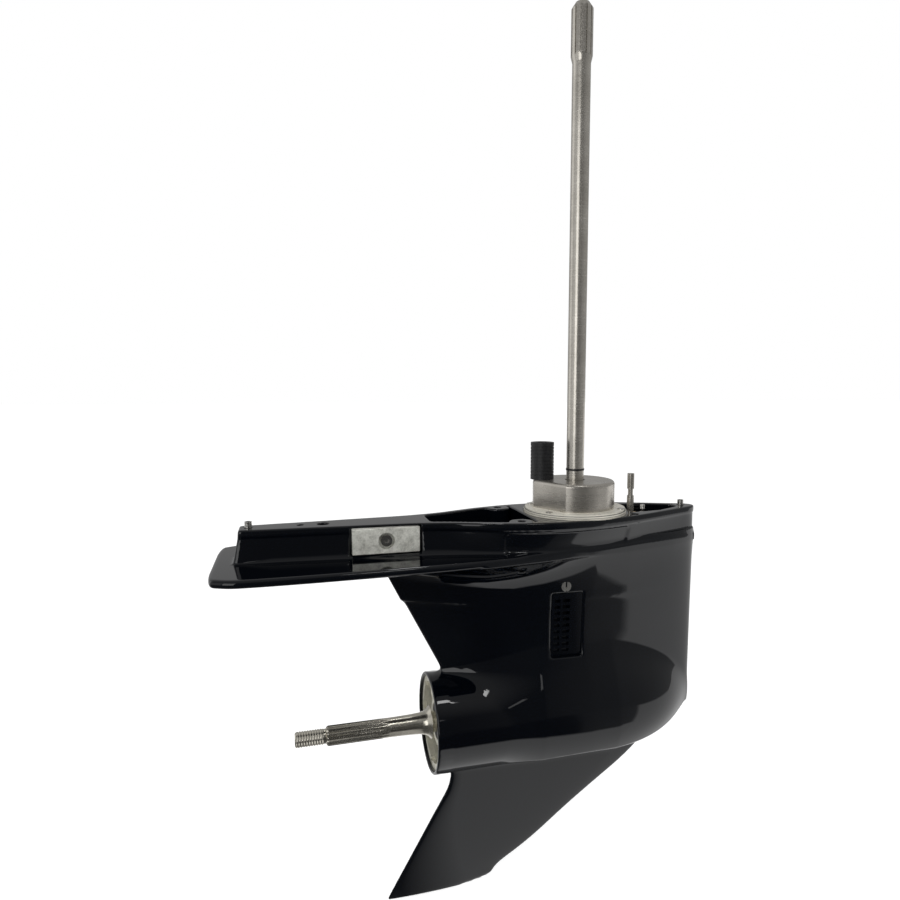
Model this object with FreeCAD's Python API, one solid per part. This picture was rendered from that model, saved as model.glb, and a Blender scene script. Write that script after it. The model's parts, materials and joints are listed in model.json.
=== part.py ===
import FreeCAD
import Part

import math
import os

# Outboard lower unit: the gear housing under an outboard motor's leg, with its drive train.
# Units are millimetres. +X is forward (bow), +Y is port and +Z is up.
# The origin is where the drive shaft's axis crosses the deck, the face that bolts to the leg.

V = FreeCAD.Vector
FORWARD = V(1, 0, 0)
UP = V(0, 0, 1)

# Casting, main levels
PROP_AXIS_Z = -257.0  # propeller shaft axis below the deck
PLATE_TOP_Z = -37.0  # anti-ventilation plate
PLATE_THICK = 9.0
LIP_DEPTH = 9.0  # mating flange round the deck
LIP_STEP = 2.5  # how far the flange stands out from the wall below it
WALL_OVERLAP = 3.0  # how deep stacked castings run into each other

# Plan outlines, (x, half width) from the aft end to the last point before the bow
DECK_PLAN = [
    (-405.0, 15.0), (-372.0, 17.5), (-335.0, 19.5), (-280.0, 23.0), (-225.0, 27.0), (-190.0, 31.5),
    (-160.0, 40.0), (-120.0, 55.0), (-75.0, 66.0), (-25.0, 69.0), (30.0, 61.5), (70.0, 49.5),
    (110.0, 34.5), (145.0, 20.5), (166.0, 10.5),
]
FOOT_PLAN = [
    (-409.0, 17.0), (-374.0, 20.0), (-336.0, 22.5), (-280.0, 28.0), (-225.0, 34.0), (-190.0, 38.0),
    (-160.0, 42.5), (-120.0, 49.5), (-75.0, 54.0), (-25.0, 54.0), (30.0, 44.5), (70.0, 35.5),
    (110.0, 24.5), (145.0, 15.5), (166.0, 8.5),
]
PLATE_PLAN = [
    (-433.0, 66.0), (-427.0, 78.0), (-405.0, 84.0), (-350.0, 86.0), (-290.0, 85.0), (-220.0, 83.0),
    (-160.0, 79.0), (-92.0, 69.0), (-40.0, 59.5), (0.0, 52.0), (60.0, 39.0), (118.0, 24.5),
    (150.0, 15.5), (166.0, 8.5),
]
BOW_X = 172.5  # the deck's and plate's foremost point

# Strut between the plate and the torpedo
STRUT_BOW_X = 171.5
STRUT_FULL_X = 10.0  # station of the greatest width
STRUT_TOP_Z = -40.0
STRUT_AFT_TOP_X = -251.0  # trailing edge at the top
STRUT_AFT_SLOPE = 0.511  # forward run of the trailing edge per mm of depth
STRUT_LEVELS = [(-40.0, 45.0), (-60.0, 41.5), (-95.0, 38.0), (-140.0, 35.5), (-190.0, 33.5), (-250.0, 33.0)]
STRUT_AFT_HALF = 2.6  # half thickness of the trailing edge

# Torpedo
TORPEDO_R = 60.3
TORPEDO_AFT_X = -192.0
NOSE_START_X = 60.0
NOSE_LENGTH = 111.5
NOSE_POWER = 2.05  # fullness of the nose's curve

# Skeg, its outline at some levels: (z, trailing edge x, leading edge x, half thickness)
SKEG_LEVELS = [
    (-303.0, -166.0, 118.0, 7.6), (-345.0, -167.0, 74.0, 6.6), (-364.0, -177.0, 46.6, 6.1),
    (-405.0, -201.0, -12.5, 5.0), (-450.0, -227.2, -77.3, 3.8), (-470.0, -238.8, -106.5, 3.2),
    (-479.0, -244.0, -122.0, 2.9), (-484.0, -247.0, -152.0, 2.4),
]

# Gears
TEETH_PINION = 14
TEETH_GEAR = 28
MODULE = 3.2
PRESSURE_ANGLE = 20.0
GEAR_FACE_SHARE = 0.30  # face width as a share of the cone distance
BACKLASH = 0.26
TIP_CLEARANCE = 0.25  # as a share of the module
ROOT_EXTRA = 0.8  # how far a tooth's foot is sunk into the blank
FLANK_POINTS = 6
CONE_PINION = math.atan2(TEETH_PINION, TEETH_GEAR)
CONE_GEAR = math.atan2(TEETH_GEAR, TEETH_PINION)

# Drive shaft
SHAFT_R = 11.1
SHAFT_TOP_Z = 605.0
SHAFT_SPLINE_R = 13.0
SHAFT_SPLINE_LENGTH = 63.0
SHAFT_SPLINES = 12
SHAFT_COLLAR_R = 13.0  # at the upper bearing
SHAFT_SHOULDER_R = 15.5  # under the upper bearing
SHAFT_PINION_R = 9.0
SHAFT_NUT_THREAD_R = 6.6
SLINGER_Z = 52.0  # seal ring above the pump
SLINGER_H = 2.4
SLINGER_DEPTH = 1.0
KEY_WIDTH = 4.0  # impeller key
KEY_DEPTH = 2.0
KEY_STAND = 1.6  # how far the key stands out of the shaft
KEY_Z0 = 9.0
KEY_Z1 = 27.0

# Tapered bearings
CUP_WALL = 3.0  # at the cup's wide end
CUP_TAPER = 3.5  # how much narrower the track is at the other end
ROLLER_SPACE = 6.6  # between cup and cone
ROLLER_R = 2.6
ROLLER_LEAN = 0.3
ROLLER_END = 2.5  # rollers are this much shorter than the cup at each end
CONE_END = 0.5  # and the cone this much

# Upper bearing, on the drive shaft
UPPER_BEARING_R = 30.0
UPPER_BEARING_TOP_Z = -44.0
UPPER_BEARING_H = 22.0
UPPER_BEARING_ROLLERS = 14
RETAINER_H = 8.0  # threaded ring that holds the bearing down
RETAINER_WALL = 10.0
RETAINER_NOTCH = 8.0
RETAINER_NOTCHES = 4

# Pinion bearing
PINION_BEARING_R = 24.0
PINION_BEARING_H = 22.0
PINION_BEARING_GAP = 3.0  # above the pinion's back face
PINION_SHELL_WALL = 4.0
PINION_ROLLER_R = 2.4
PINION_ROLLERS = 16
OIL_BORE_R = 20.0

# Gear hubs
GEAR_BACK = 31.0  # back face of a gear's rim from the drive shaft's axis
FORWARD_HUB_R = 21.0
REVERSE_HUB_R = 21.0
HUB_BORE_GAP = 0.4
PINION_HUB = 7.0  # height of the pinion's back above its pitch circle
PINION_NUT_R = 11.0
PINION_ROOM = 0.8  # casting's clearance round the pinion's teeth

# Forward gear bearing, in the nose
FORWARD_BEARING_R = 38.0
FORWARD_BEARING_X0 = 34.0
FORWARD_BEARING_L = 22.0
FORWARD_BEARING_ROLLERS = 18
NOSE_CAVITY_R = 30.0
NOSE_CAVITY_END_X = 97.0

# Reverse gear bearing, in the bearing carrier
REVERSE_BEARING_R = 38.0
REVERSE_BEARING_X0 = -58.0
REVERSE_BEARING_L = 18.0
REVERSE_BALL_R = 4.4
REVERSE_BALLS = 14
REVERSE_RACE_GAP = 2.6  # each race's edge from the balls' pitch circle
WASHER_SEAT = 2.0  # recess for the thrust washer behind the bearing

# Propeller shaft
PROP_SHAFT_R = 12.2
PROP_SHAFT_AFT_X = -352.0
PROP_THREAD_LENGTH = 35.0
PROP_THREAD_R = 9.4
PROP_SPLINE_LENGTH = 70.0
PROP_SPLINES = 15
PROP_CONE_R = 20.0  # seat of the propeller's thrust hub
PROP_CONE_X0 = -206.0
PROP_CONE_X1 = -190.0
PROP_INNER_R = 12.8
PROP_FRONT_X = 62.0
ACTUATOR_BORE_R = 6.2

# Clutch
CLUTCH_R = 20.5
CLUTCH_HALF = 5.0  # half length of the clutch's body, without jaws
JAW_HEIGHT = 5.0
JAW_GAP = 2.0  # between clutch jaws and gear jaws in neutral
CLUTCH_STROKE = 6.5  # room for the cross pin either way
JAWS = 8
JAW_SHARE = 0.42  # width of a jaw as a share of its pitch
JAW_INNER_R = 14.6
CLUTCH_SPLINES = 12
CROSS_PIN_R = 3.4

# Shift
SHIFT_X = 79.0
SHIFT_SHAFT_R = 4.5
SHIFT_TOP_Z = 45.0
SHIFT_SPLINE_LENGTH = 20.0
SHIFT_NECK_R = 3.3  # thinner neck under the splined head
SHIFT_NECK_LENGTH = 9.0
SHIFT_GROOVE_DEPTH = 0.7
SHIFT_GROOVE_WIDTH = 0.5
SHIFT_SPLINES = 12
CRANK_RADIUS = 14.0
CRANK_PIN_R = 3.0
CRANK_HUB_R = 7.5
CRANK_T = 4.0
CRANK_SOCKET_DEPTH = 12.0
SPOOL_R = 16.0
SPOOL_GROOVE_R = 7.0
SPOOL_CLEARANCE = 0.35
SPOOL_FLANGE = 4.0
SHIFT_BORE_R = 7.5
SHIFT_BUSH_R = 9.0

# Water pump
PUMP_BASE_R = 64.5
PUMP_SCREW_INSET = 5.9  # screw circle inside the base's edge
PUMP_BODY_INSET = 13.0  # body inside the base's edge
PUMP_FLANGE_INSET = 1.5
PUMP_GASKET_INSET = 0.6
PUMP_SPIGOT_R = 33.0
PUMP_SPIGOT_DEPTH = 32.0
PUMP_BASE_T = 2.0
PUMP_SEAT_DEPTH = 1.0  # the base's pocket in the deck
PUMP_SEAT_GAP = 0.5
GASKET_T = 0.6
WEAR_PLATE_T = 1.6
PUMP_FLANGE_T = 1.6
PUMP_BODY_R = PUMP_BASE_R - PUMP_BODY_INSET
PUMP_BODY_X = -2.0
PUMP_FLAT_R = PUMP_BODY_R - 7.5  # distance of the body's flat side from its axis
PUMP_FLAT_ANGLE = 205.0
PUMP_RIM_FILLET = 4.0
PUMP_TOP_Z = 40.0
PUMP_SHAFT_GAP = 1.4  # the pump's bores round the drive shaft
DRIVE_SEAL_R = 19.0
DRIVE_SEAL_H = 7.5
PUMP_CUP_R = 36.0
PUMP_CUP_WALL = 1.6
PUMP_ECCENTRIC = 2.5
PUMP_CHAMBER_R = 31.0
PUMP_TOP_T = 4.0
PUMP_SCREW_CIRCLE_R = PUMP_BASE_R - PUMP_SCREW_INSET
PUMP_SCREW_ANGLES = (35.0, 145.0, 215.0, 325.0)
PUMP_SCREW_R = 2.5
PUMP_SCREW_HEAD_R = 4.3
PUMP_SCREW_HEAD_T = 1.0
PUMP_SCREW_LENGTH = 22.0
IMPELLER_VANES = 6
IMPELLER_HUB_R = 17.0
IMPELLER_R = 27.6
IMPELLER_VANE_T = 3.2
IMPELLER_BEAD_R = 2.1
TUBE_INSET = 15.5  # water tube coupling, its axis inside the pump body's aft side
TUBE_X = PUMP_BODY_X - PUMP_BODY_R + TUBE_INSET
TUBE_Y = 17.0
TUBE_R = 14.8
TUBE_BORE_R = 9.0
TUBE_HEIGHT = 47.0
TUBE_GROOVES = 9
TUBE_GROOVE_START = 6.0
TUBE_GROOVE_PITCH = 4.4
TUBE_GROOVE_H = 1.2
TUBE_GROOVE_DEPTH = 0.8

# Bearing carrier in the torpedo's aft end
CARRIER_BORE_R = 50.0
CARRIER_RING_R = 53.0
RIM_BORE_R = 56.5
RIM_DEPTH = 16.0
CARRIER_HUB_R = 28.0
CARRIER_NUT_T = 6.0
CARRIER_FLANGE_T = 6.0
CARRIER_RING_L = 16.0
CARRIER_CUP_WALL = 6.0  # behind the reverse bearing
CARRIER_RIB_T = 8.0
EXHAUST_WINDOWS = 4
CARRIER_NUT_WALL = 8.0
CARRIER_NUT_NOTCHES = 8
CARRIER_NUT_NOTCH = 10.0
PROP_NEEDLE_R = 18.0
PROP_NEEDLE_SEAT = 25.0
PROP_NEEDLE_WALL = 1.8
PROP_NEEDLES = 20
PROP_SEAL_R = 22.0
PROP_SEAL_SEAT = 15.0
PROP_SEAL_L = 6.5

# Anodes
ANODE_X = -244.5
ANODE_Z = -17.5
ANODE_LENGTH = 77.0
ANODE_HEIGHT = 29.5
ANODE_THICK = 9.5
ANODE_SEAT_Y = 22.0
ANODE_RECESS_R = 9.5
ANODE_RECESS_D = 5.5
ANODE_BOLT_R = 4.0
ANODE_BOLT_GAP = 0.2
ANODE_FILLET = 1.2
ANODE_POCKET_END = 2.0  # room at each end of an anode in its pocket
ANODE_POCKET_TOP = 1.0

# Water intake covers
INTAKE_X0 = -44.0
INTAKE_X1 = -4.0
INTAKE_Z0 = -177.0
INTAKE_Z1 = -95.0
INTAKE_SEAT_Y = 30.0
INTAKE_POCKET_Y = 25.0
INTAKE_ROWS = 9
INTAKE_PITCH = 8.0
INTAKE_SLOT_H = 4.0
INTAKE_SLOT_COLUMNS = ((-40.0, -32.5), (-29.0, -20.0))
GALLERY_X = -32.0
GALLERY_Y = 28.0
GALLERY_R = 5.0

# Plugs and holes
VENT_X = -27.0
VENT_Z = -86.0
FILL_X = 62.0
FILL_ANGLE = -42.0  # below the horizontal, on the port side
PLUG_HEAD_R = 6.4
PLUG_R = 4.6
PLUG_LENGTH = 14.0
PLUG_HEAD_T = 3.0
PLUG_HEAD_GAP = 0.6
FILL_SEAT_DEPTH = 2.0  # how far the fill plug's seat is sunk into the torpedo
WASHER_T = 1.0
PITOT_X = 119.0
PITOT_Z = -197.0
PITOT_R = 2.8

# Deck features
REAR_BOLT_X = -88.0
REAR_BOLT_Y = 48.0
FRONT_BOLT_X = 62.0
FRONT_BOLT_Y = 43.0
DECK_BOLT_R = 4.5
FRONT_BOLT_DEPTH = 26.0
TRIM_BOLT_X = -313.0
TRIM_BOLT_R = 6.5
TRIM_SINK_R = 13.65  # shallow counterbore under the plate
TRIM_SINK_DEPTH = 3.0
SMALL_HOLE_X = -338.5
SMALL_HOLE_R = 3.4
SMALL_HOLE_DEPTH = 16.0
DOWEL_R = 4.0
DOWEL_FOOT_R = 4.2  # the part driven into the casting
DOWEL_BORE_R = 2.2
DOWEL_NECK_R = 3.7  # a relief groove between the pin and its foot
DOWEL_NECK_TOP = 0.8
DOWEL_HEIGHT = 7.0
DOWEL_DEPTH = 9.0
DOWEL_FRONT_X = 153.5
DOWEL_AFT_X = -394.5
HOSE_FITTING_X = 104.0
HOSE_FITTING_Y = 12.0
BOSS_R = 15.0
EXHAUST_WALL = 11.0
EXHAUST_FRONT_X = -70.0
EXHAUST_AFT_X = -191.0
EXHAUST_DEPTH = 36.0
FRONT_CAVITY = [(67.5, 29.0), (106.0, 25.0), (143.0, 7.0)]  # (x, half width)
FRONT_CAVITY_DEPTH = 14.0

PROP_CENTRE = V(0, 0, PROP_AXIS_Z)

# Fits
SLIP = 0.05  # radial clearance of a running or located fit
SEAT = 0.3  # clearance of a piece that sits beside a curved one
THREAD_RELIEF = 0.1


def along_x(radius, x0, x1, z=PROP_AXIS_Z, y=0.0):
    return Part.makeCylinder(radius, x1 - x0, V(x0, y, z), V(1, 0, 0))


def along_z(radius, z0, z1, x=0.0, y=0.0):
    return Part.makeCylinder(radius, z1 - z0, V(x, y, z0), V(0, 0, 1))


def along_y(radius, y0, y1, x, z):
    return Part.makeCylinder(radius, y1 - y0, V(x, y0, z), V(0, 1, 0))


def tube_x(outer, inner, x0, x1):
    return along_x(outer, x0, x1).cut(along_x(inner, x0 - 1, x1 + 1))


def tube_z(outer, inner, z0, z1, x=0.0, y=0.0):
    return along_z(outer, z0, z1, x, y).cut(along_z(inner, z0 - 1, z1 + 1, x, y))


def block(x0, x1, y0, y1, z0, z1):
    return Part.makeBox(x1 - x0, y1 - y0, z1 - z0, V(x0, y0, z0))


def turned_x(profile):
    """A solid of revolution about the propeller axis from (x, radius) points."""
    points = [V(x, 0, PROP_AXIS_Z + r) for x, r in profile]
    face = Part.Face(Part.makePolygon(points + [points[0]]))
    return face.revolve(PROP_CENTRE, FORWARD, 360)


def turned_z(profile, x=0.0, y=0.0):
    """A solid of revolution about an upright axis from (radius, z) points."""
    points = [V(x + r, y, z) for r, z in profile]
    face = Part.Face(Part.makePolygon(points + [points[0]]))
    return face.revolve(V(x, y, 0), V(0, 0, 1), 360)


def spun(shape, count, centre, axis, first=0.0):
    """Copies of a shape, evenly spaced round an axis."""
    copies = []
    for i in range(count):
        copy = shape.copy()
        copy.rotate(centre, axis, first + 360.0 * i / count)
        copies.append(copy)
    return copies


def fused(shapes):
    return shapes[0].multiFuse(shapes[1:]) if len(shapes) > 1 else shapes[0]


def save(name, shape):
    solids = shape.Solids
    out = solids[0] if len(solids) == 1 else Part.makeCompound(solids)
    out.exportStep(os.path.join("parts", name + ".step"))


# Casting


def plan_wire(plan, bow_x, z, inset=0.0):
    """A closed outline at one level: a smooth curve round the bow and a straight aft edge."""
    side = [(x, max(half - inset, 1.0)) for x, half in plan]
    points = [V(x, -half, z) for x, half in side]
    points.append(V(bow_x - inset, 0, z))
    points += [V(x, half, z) for x, half in reversed(side)]
    curve = Part.BSplineCurve()
    curve.interpolate(points)
    return Part.Wire([curve.toShape(), Part.makeLine(points[-1], points[0])])


def prism(wire, depth):
    return Part.Face(wire).extrude(V(0, 0, depth))


def casting_top():
    """Deck flange, the waisted walls below it, and the anti-ventilation plate."""
    lip = prism(plan_wire(DECK_PLAN, BOW_X, 0.0), -LIP_DEPTH)
    walls = Part.makeLoft(
        [
            plan_wire(DECK_PLAN, BOW_X, -LIP_DEPTH + WALL_OVERLAP, LIP_STEP),
            plan_wire(FOOT_PLAN, BOW_X, PLATE_TOP_Z - WALL_OVERLAP, LIP_STEP / 2),
        ],
        True,
    )
    plate = prism(plan_wire(PLATE_PLAN, BOW_X, PLATE_TOP_Z), -PLATE_THICK)
    return [lip, walls, plate]


def strut_half_width(x, aft_x, full):
    """Half width of the strut at a station: a rounded wedge forward, a long taper aft."""
    if x >= STRUT_FULL_X:
        t = min((x - STRUT_FULL_X) / (STRUT_BOW_X - STRUT_FULL_X), 1.0)
        return full * math.sqrt(1.0 - t**1.4)
    t = (STRUT_FULL_X - x) / (STRUT_FULL_X - aft_x)
    return STRUT_AFT_HALF + (full - STRUT_AFT_HALF) * (1.0 - t**1.9)


def strut_wire(z, full):
    aft_x = STRUT_AFT_TOP_X + STRUT_AFT_SLOPE * (STRUT_TOP_Z - z)
    aft_steps, bow_steps = 7, 9
    stations = [aft_x + (STRUT_FULL_X - aft_x) * i / aft_steps for i in range(aft_steps)]
    for i in range(bow_steps + 1):
        share = 1.0 - (1.0 - i / bow_steps) ** 2
        stations.append(STRUT_FULL_X + (STRUT_BOW_X - STRUT_FULL_X) * share)
    side = [(x, strut_half_width(x, aft_x, full)) for x in stations[:-1]]
    points = [V(x, -half, z) for x, half in side]
    points.append(V(STRUT_BOW_X, 0, z))
    points += [V(x, half, z) for x, half in reversed(side)]
    curve = Part.BSplineCurve()
    curve.interpolate(points)
    return Part.Wire([curve.toShape(), Part.makeLine(points[-1], points[0])])


def strut():
    return Part.makeLoft([strut_wire(z, full) for z, full in STRUT_LEVELS], True)


def nose_radius(x):
    if x <= NOSE_START_X:
        return TORPEDO_R
    t = min((x - NOSE_START_X) / NOSE_LENGTH, 1.0)
    return TORPEDO_R * (1.0 - t**NOSE_POWER) ** (1.0 / NOSE_POWER)


def torpedo():
    """The bullet-shaped gear case: a parallel body with a full, rounded nose."""
    steps = 9
    angles = [math.pi / 2 * i / steps for i in range(steps + 1)]
    stations = [NOSE_START_X + NOSE_LENGTH * math.sin(a) for a in angles]
    nose = [V(x, 0, PROP_AXIS_Z + nose_radius(x)) for x in stations]
    nose[-1] = V(stations[-1], 0, PROP_AXIS_Z)
    curve = Part.BSplineCurve()
    curve.interpolate(nose, InitialTangent=V(1, 0, 0), FinalTangent=V(0, 0, -1))
    aft_axis = V(TORPEDO_AFT_X, 0, PROP_AXIS_Z)
    aft_top = V(TORPEDO_AFT_X, 0, PROP_AXIS_Z + TORPEDO_R)
    wire = Part.Wire(
        [
            Part.makeLine(aft_axis, aft_top),
            Part.makeLine(aft_top, nose[0]),
            curve.toShape(),
            Part.makeLine(nose[-1], aft_axis),
        ]
    )
    return Part.Face(wire).revolve(PROP_CENTRE, FORWARD, 360)


def skeg():
    """The fin under the torpedo: a swept blade with a lens-shaped section."""
    wires = []
    for z, aft_x, bow_x, half in SKEG_LEVELS:
        aft, bow = V(aft_x, 0, z), V(bow_x, 0, z)
        middle = aft_x + 0.55 * (bow_x - aft_x)
        star = Part.Arc(aft, V(middle, -half, z), bow).toShape()
        port = Part.Arc(bow, V(middle, half, z), aft).toShape()
        wires.append(Part.Wire([star, port]))
    return Part.makeLoft(wires, True, True)


def exhaust_plan(z, inset=0.0):
    """The exhaust chamber's outline, a wall's thickness inside the deck's edge."""
    side = [(x, half) for x, half in DECK_PLAN if EXHAUST_AFT_X < x < EXHAUST_FRONT_X]
    side = [(EXHAUST_AFT_X, side[0][1] - 1.0)] + side + [(EXHAUST_FRONT_X, 50.0)]
    points = [V(x, -(half - EXHAUST_WALL - inset), z) for x, half in side]
    points += [V(x, half - EXHAUST_WALL - inset, z) for x, half in reversed(side)]
    return Part.makePolygon(points + [points[0]])


def exhaust_trunk():
    """The passage down the strut from the exhaust chamber to the torpedo."""
    top_z = -EXHAUST_DEPTH + WALL_OVERLAP
    foot_z = PROP_AXIS_Z + CARRIER_BORE_R - WALL_OVERLAP * 2
    top = [(-182.0, 12.0), (-120.0, 25.0), (-52.0, 30.0)]
    foot = [(-148.0, 7.0), (-105.0, 15.0), (-52.0, 20.0)]
    wires = []
    for side, z in ((top, top_z), (foot, foot_z)):
        points = [V(x, -half, z) for x, half in side]
        points += [V(x, half, z) for x, half in reversed(side)]
        wires.append(Part.makePolygon(points + [points[0]]))
    return Part.makeLoft(wires, True, True)


def boss_columns():
    """The two bolt bosses that stand in the exhaust chamber."""
    return [
        along_z(BOSS_R, PLATE_TOP_Z, 0.0, REAR_BOLT_X, side * REAR_BOLT_Y) for side in (-1, 1)
    ]


def front_cavity():
    points = [V(x, -half, -FRONT_CAVITY_DEPTH) for x, half in FRONT_CAVITY]
    points += [V(x, half, -FRONT_CAVITY_DEPTH) for x, half in reversed(FRONT_CAVITY)]
    return prism(Part.makePolygon(points + [points[0]]), FRONT_CAVITY_DEPTH + 1)


def pinion_back_z():
    return PROP_AXIS_Z + MODULE * TEETH_GEAR / 2 + PINION_HUB


def pinion_tip_r():
    return MODULE * TEETH_PINION / 2 + MODULE * math.cos(CONE_PINION)


def shaft_bores():
    """Bores on the drive shaft's axis, from the deck down to the gear chamber."""
    bearing_z = pinion_back_z() + PINION_BEARING_GAP
    return [
        along_z(PUMP_BASE_R + PUMP_SEAT_GAP, -PUMP_SEAT_DEPTH, 1.0),
        along_z(PUMP_SPIGOT_R, -PUMP_SPIGOT_DEPTH - 2, 1.0),
        along_z(UPPER_BEARING_R, UPPER_BEARING_TOP_Z - UPPER_BEARING_H, 0.0),
        along_z(OIL_BORE_R, bearing_z, UPPER_BEARING_TOP_Z - UPPER_BEARING_H + 1),
        along_z(PINION_BEARING_R, PROP_AXIS_Z + 20, bearing_z + PINION_BEARING_H),
        along_z(pinion_tip_r() + PINION_ROOM, PROP_AXIS_Z + 20, pinion_back_z() + PINION_ROOM),
    ]


def torpedo_bores():
    ring_x = TORPEDO_AFT_X + RIM_DEPTH
    chamber_end = FORWARD_BEARING_X0 - 2.0
    cavity_start = FORWARD_BEARING_X0 + FORWARD_BEARING_L
    return [
        along_x(RIM_BORE_R, TORPEDO_AFT_X - 1, ring_x),
        along_x(CARRIER_RING_R, TORPEDO_AFT_X, ring_x + CARRIER_RING_L + 2),
        along_x(CARRIER_BORE_R, TORPEDO_AFT_X, chamber_end),
        along_x(FORWARD_BEARING_R, chamber_end - 1, cavity_start),
        along_x(NOSE_CAVITY_R, cavity_start - 1, NOSE_CAVITY_END_X),
    ]


def anode_pocket(side):
    half_l = ANODE_LENGTH / 2 + ANODE_POCKET_END
    half_h = ANODE_HEIGHT / 2 + ANODE_POCKET_TOP
    y0, y1 = sorted((side * ANODE_SEAT_Y, side * 80.0))
    return block(
        ANODE_X - half_l, ANODE_X + half_l, y0, y1, ANODE_Z - half_h, ANODE_Z + half_h
    )


def intake_box(side, seat_y, margin):
    y0, y1 = sorted((side * seat_y, side * 60.0))
    return block(
        INTAKE_X0 + margin, INTAKE_X1 - margin, y0, y1, INTAKE_Z0 + margin, INTAKE_Z1 - margin
    )


def fill_direction():
    a = math.radians(FILL_ANGLE)
    return V(0, math.cos(a), math.sin(a))


def fill_point(radius):
    return V(FILL_X, 0, PROP_AXIS_Z) + fill_direction() * radius


def vent_seat_y():
    """Where the vent plug's washer sits on the strut's side."""
    aft_x = STRUT_AFT_TOP_X + STRUT_AFT_SLOPE * (STRUT_TOP_Z - VENT_Z)
    return strut_half_width(VENT_X, aft_x, 38.6) - 0.8


def gear_housing():
    shapes = casting_top() + [strut(), torpedo(), skeg()]
    body = fused(shapes)
    exhaust = prism(exhaust_plan(-EXHAUST_DEPTH), EXHAUST_DEPTH + 1)
    for column in boss_columns():
        exhaust = exhaust.cut(column)
    seat = vent_seat_y()
    cuts = [exhaust, exhaust_trunk(), front_cavity()] + shaft_bores() + torpedo_bores()
    for side in (-1, 1):
        cuts.append(anode_pocket(side))
        cuts.append(intake_box(side, INTAKE_SEAT_Y, 0.0))
        cuts.append(intake_box(side, INTAKE_POCKET_Y, 5.0))
        cuts.append(along_z(GALLERY_R, INTAKE_Z1 - 10, 1.0, GALLERY_X, side * GALLERY_Y))
        cuts.append(along_z(DECK_BOLT_R, -60.0, 1.0, REAR_BOLT_X, side * REAR_BOLT_Y))
        cuts.append(along_z(DECK_BOLT_R, -FRONT_BOLT_DEPTH, 1.0, FRONT_BOLT_X, side * FRONT_BOLT_Y))
    cuts += [
        along_z(SHIFT_BORE_R, PROP_AXIS_Z, 0.0, SHIFT_X),
        along_z(TRIM_BOLT_R, -60.0, 1.0, TRIM_BOLT_X),
        along_z(TRIM_SINK_R, -60.0, PLATE_TOP_Z - PLATE_THICK + TRIM_SINK_DEPTH, TRIM_BOLT_X),
        along_z(SMALL_HOLE_R, -SMALL_HOLE_DEPTH, 1.0, SMALL_HOLE_X),
        along_z(DOWEL_FOOT_R + SLIP, -DOWEL_DEPTH, 1.0, DOWEL_FRONT_X),
        along_z(DOWEL_FOOT_R + SLIP, -DOWEL_DEPTH, 1.0, DOWEL_AFT_X),
        along_y(ANODE_BOLT_R + ANODE_BOLT_GAP, -40.0, 40.0, ANODE_X, ANODE_Z),
        along_y(PITOT_R, -60.0, -8.0, PITOT_X, PITOT_Z),
        along_y(PLUG_R + THREAD_RELIEF, -60.0, -seat + PLUG_LENGTH, VENT_X, VENT_Z),
        along_y(PLUG_HEAD_R + PLUG_HEAD_GAP, -60.0, -seat, VENT_X, VENT_Z),
    ]
    inner, outer = fill_point(TORPEDO_R - PLUG_LENGTH - 4.0), fill_point(TORPEDO_R + 10.0)
    cuts.append(Part.makeCylinder(PLUG_R + THREAD_RELIEF, 24.0, inner, outer - inner))
    seat_start = fill_point(TORPEDO_R - FILL_SEAT_DEPTH)
    cuts.append(Part.makeCylinder(PLUG_HEAD_R + PLUG_HEAD_GAP, 12.0, seat_start, outer - inner))
    for angle in PUMP_SCREW_ANGLES:
        x, y = pump_screw_place(angle)
        cuts.append(along_z(PUMP_SCREW_R + THREAD_RELIEF, -PUMP_SCREW_LENGTH, 1.0, x, y))
    body = body.cut(Part.makeCompound(cuts))
    return body


def intake_cover(side):
    """A slotted screen, flush with the strut's side."""
    cover = strut().common(intake_box(side, INTAKE_SEAT_Y, SEAT))
    y0, y1 = sorted((side * (INTAKE_SEAT_Y - 2), side * 60.0))
    slots = []
    for row in range(INTAKE_ROWS):
        z = INTAKE_Z1 - 8.0 - INTAKE_PITCH * row
        for x0, x1 in INTAKE_SLOT_COLUMNS:
            slots.append(block(x0, x1, y0, y1, z - INTAKE_SLOT_H, z))
    return cover.cut(Part.makeCompound(slots))


def build_casting():
    save("gear_housing", gear_housing())
    save("intake_screen_starboard", intake_cover(-1))
    save("intake_screen_port", intake_cover(1))


def dowels():
    pins = []
    for x in (DOWEL_FRONT_X, DOWEL_AFT_X):
        foot = along_z(DOWEL_FOOT_R, -DOWEL_DEPTH, -1.0, x)
        neck = along_z(DOWEL_NECK_R, -1.5, DOWEL_NECK_TOP + 0.5, x)
        pin = foot.fuse(neck).fuse(along_z(DOWEL_R, DOWEL_NECK_TOP, DOWEL_HEIGHT, x))
        pins.append(pin.cut(along_z(DOWEL_BORE_R, -DOWEL_DEPTH - 1, DOWEL_HEIGHT + 1, x)))
    return Part.makeCompound(pins)


def anode(side):
    y0, y1 = sorted((side * ANODE_SEAT_Y, side * (ANODE_SEAT_Y + ANODE_THICK)))
    plate = block(
        ANODE_X - ANODE_LENGTH / 2, ANODE_X + ANODE_LENGTH / 2, y0, y1,
        ANODE_Z - ANODE_HEIGHT / 2, ANODE_Z + ANODE_HEIGHT / 2,
    )
    plate = plate.makeFillet(ANODE_FILLET, plate.Edges)
    face = ANODE_SEAT_Y + ANODE_THICK
    r0, r1 = sorted((side * (face - ANODE_RECESS_D), side * (face + 5)))
    recess = along_y(ANODE_RECESS_R, r0, r1, ANODE_X, ANODE_Z)
    hole = along_y(ANODE_BOLT_R + ANODE_BOLT_GAP, -60.0, 60.0, ANODE_X, ANODE_Z)
    return plate.cut(recess).cut(hole)


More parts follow.
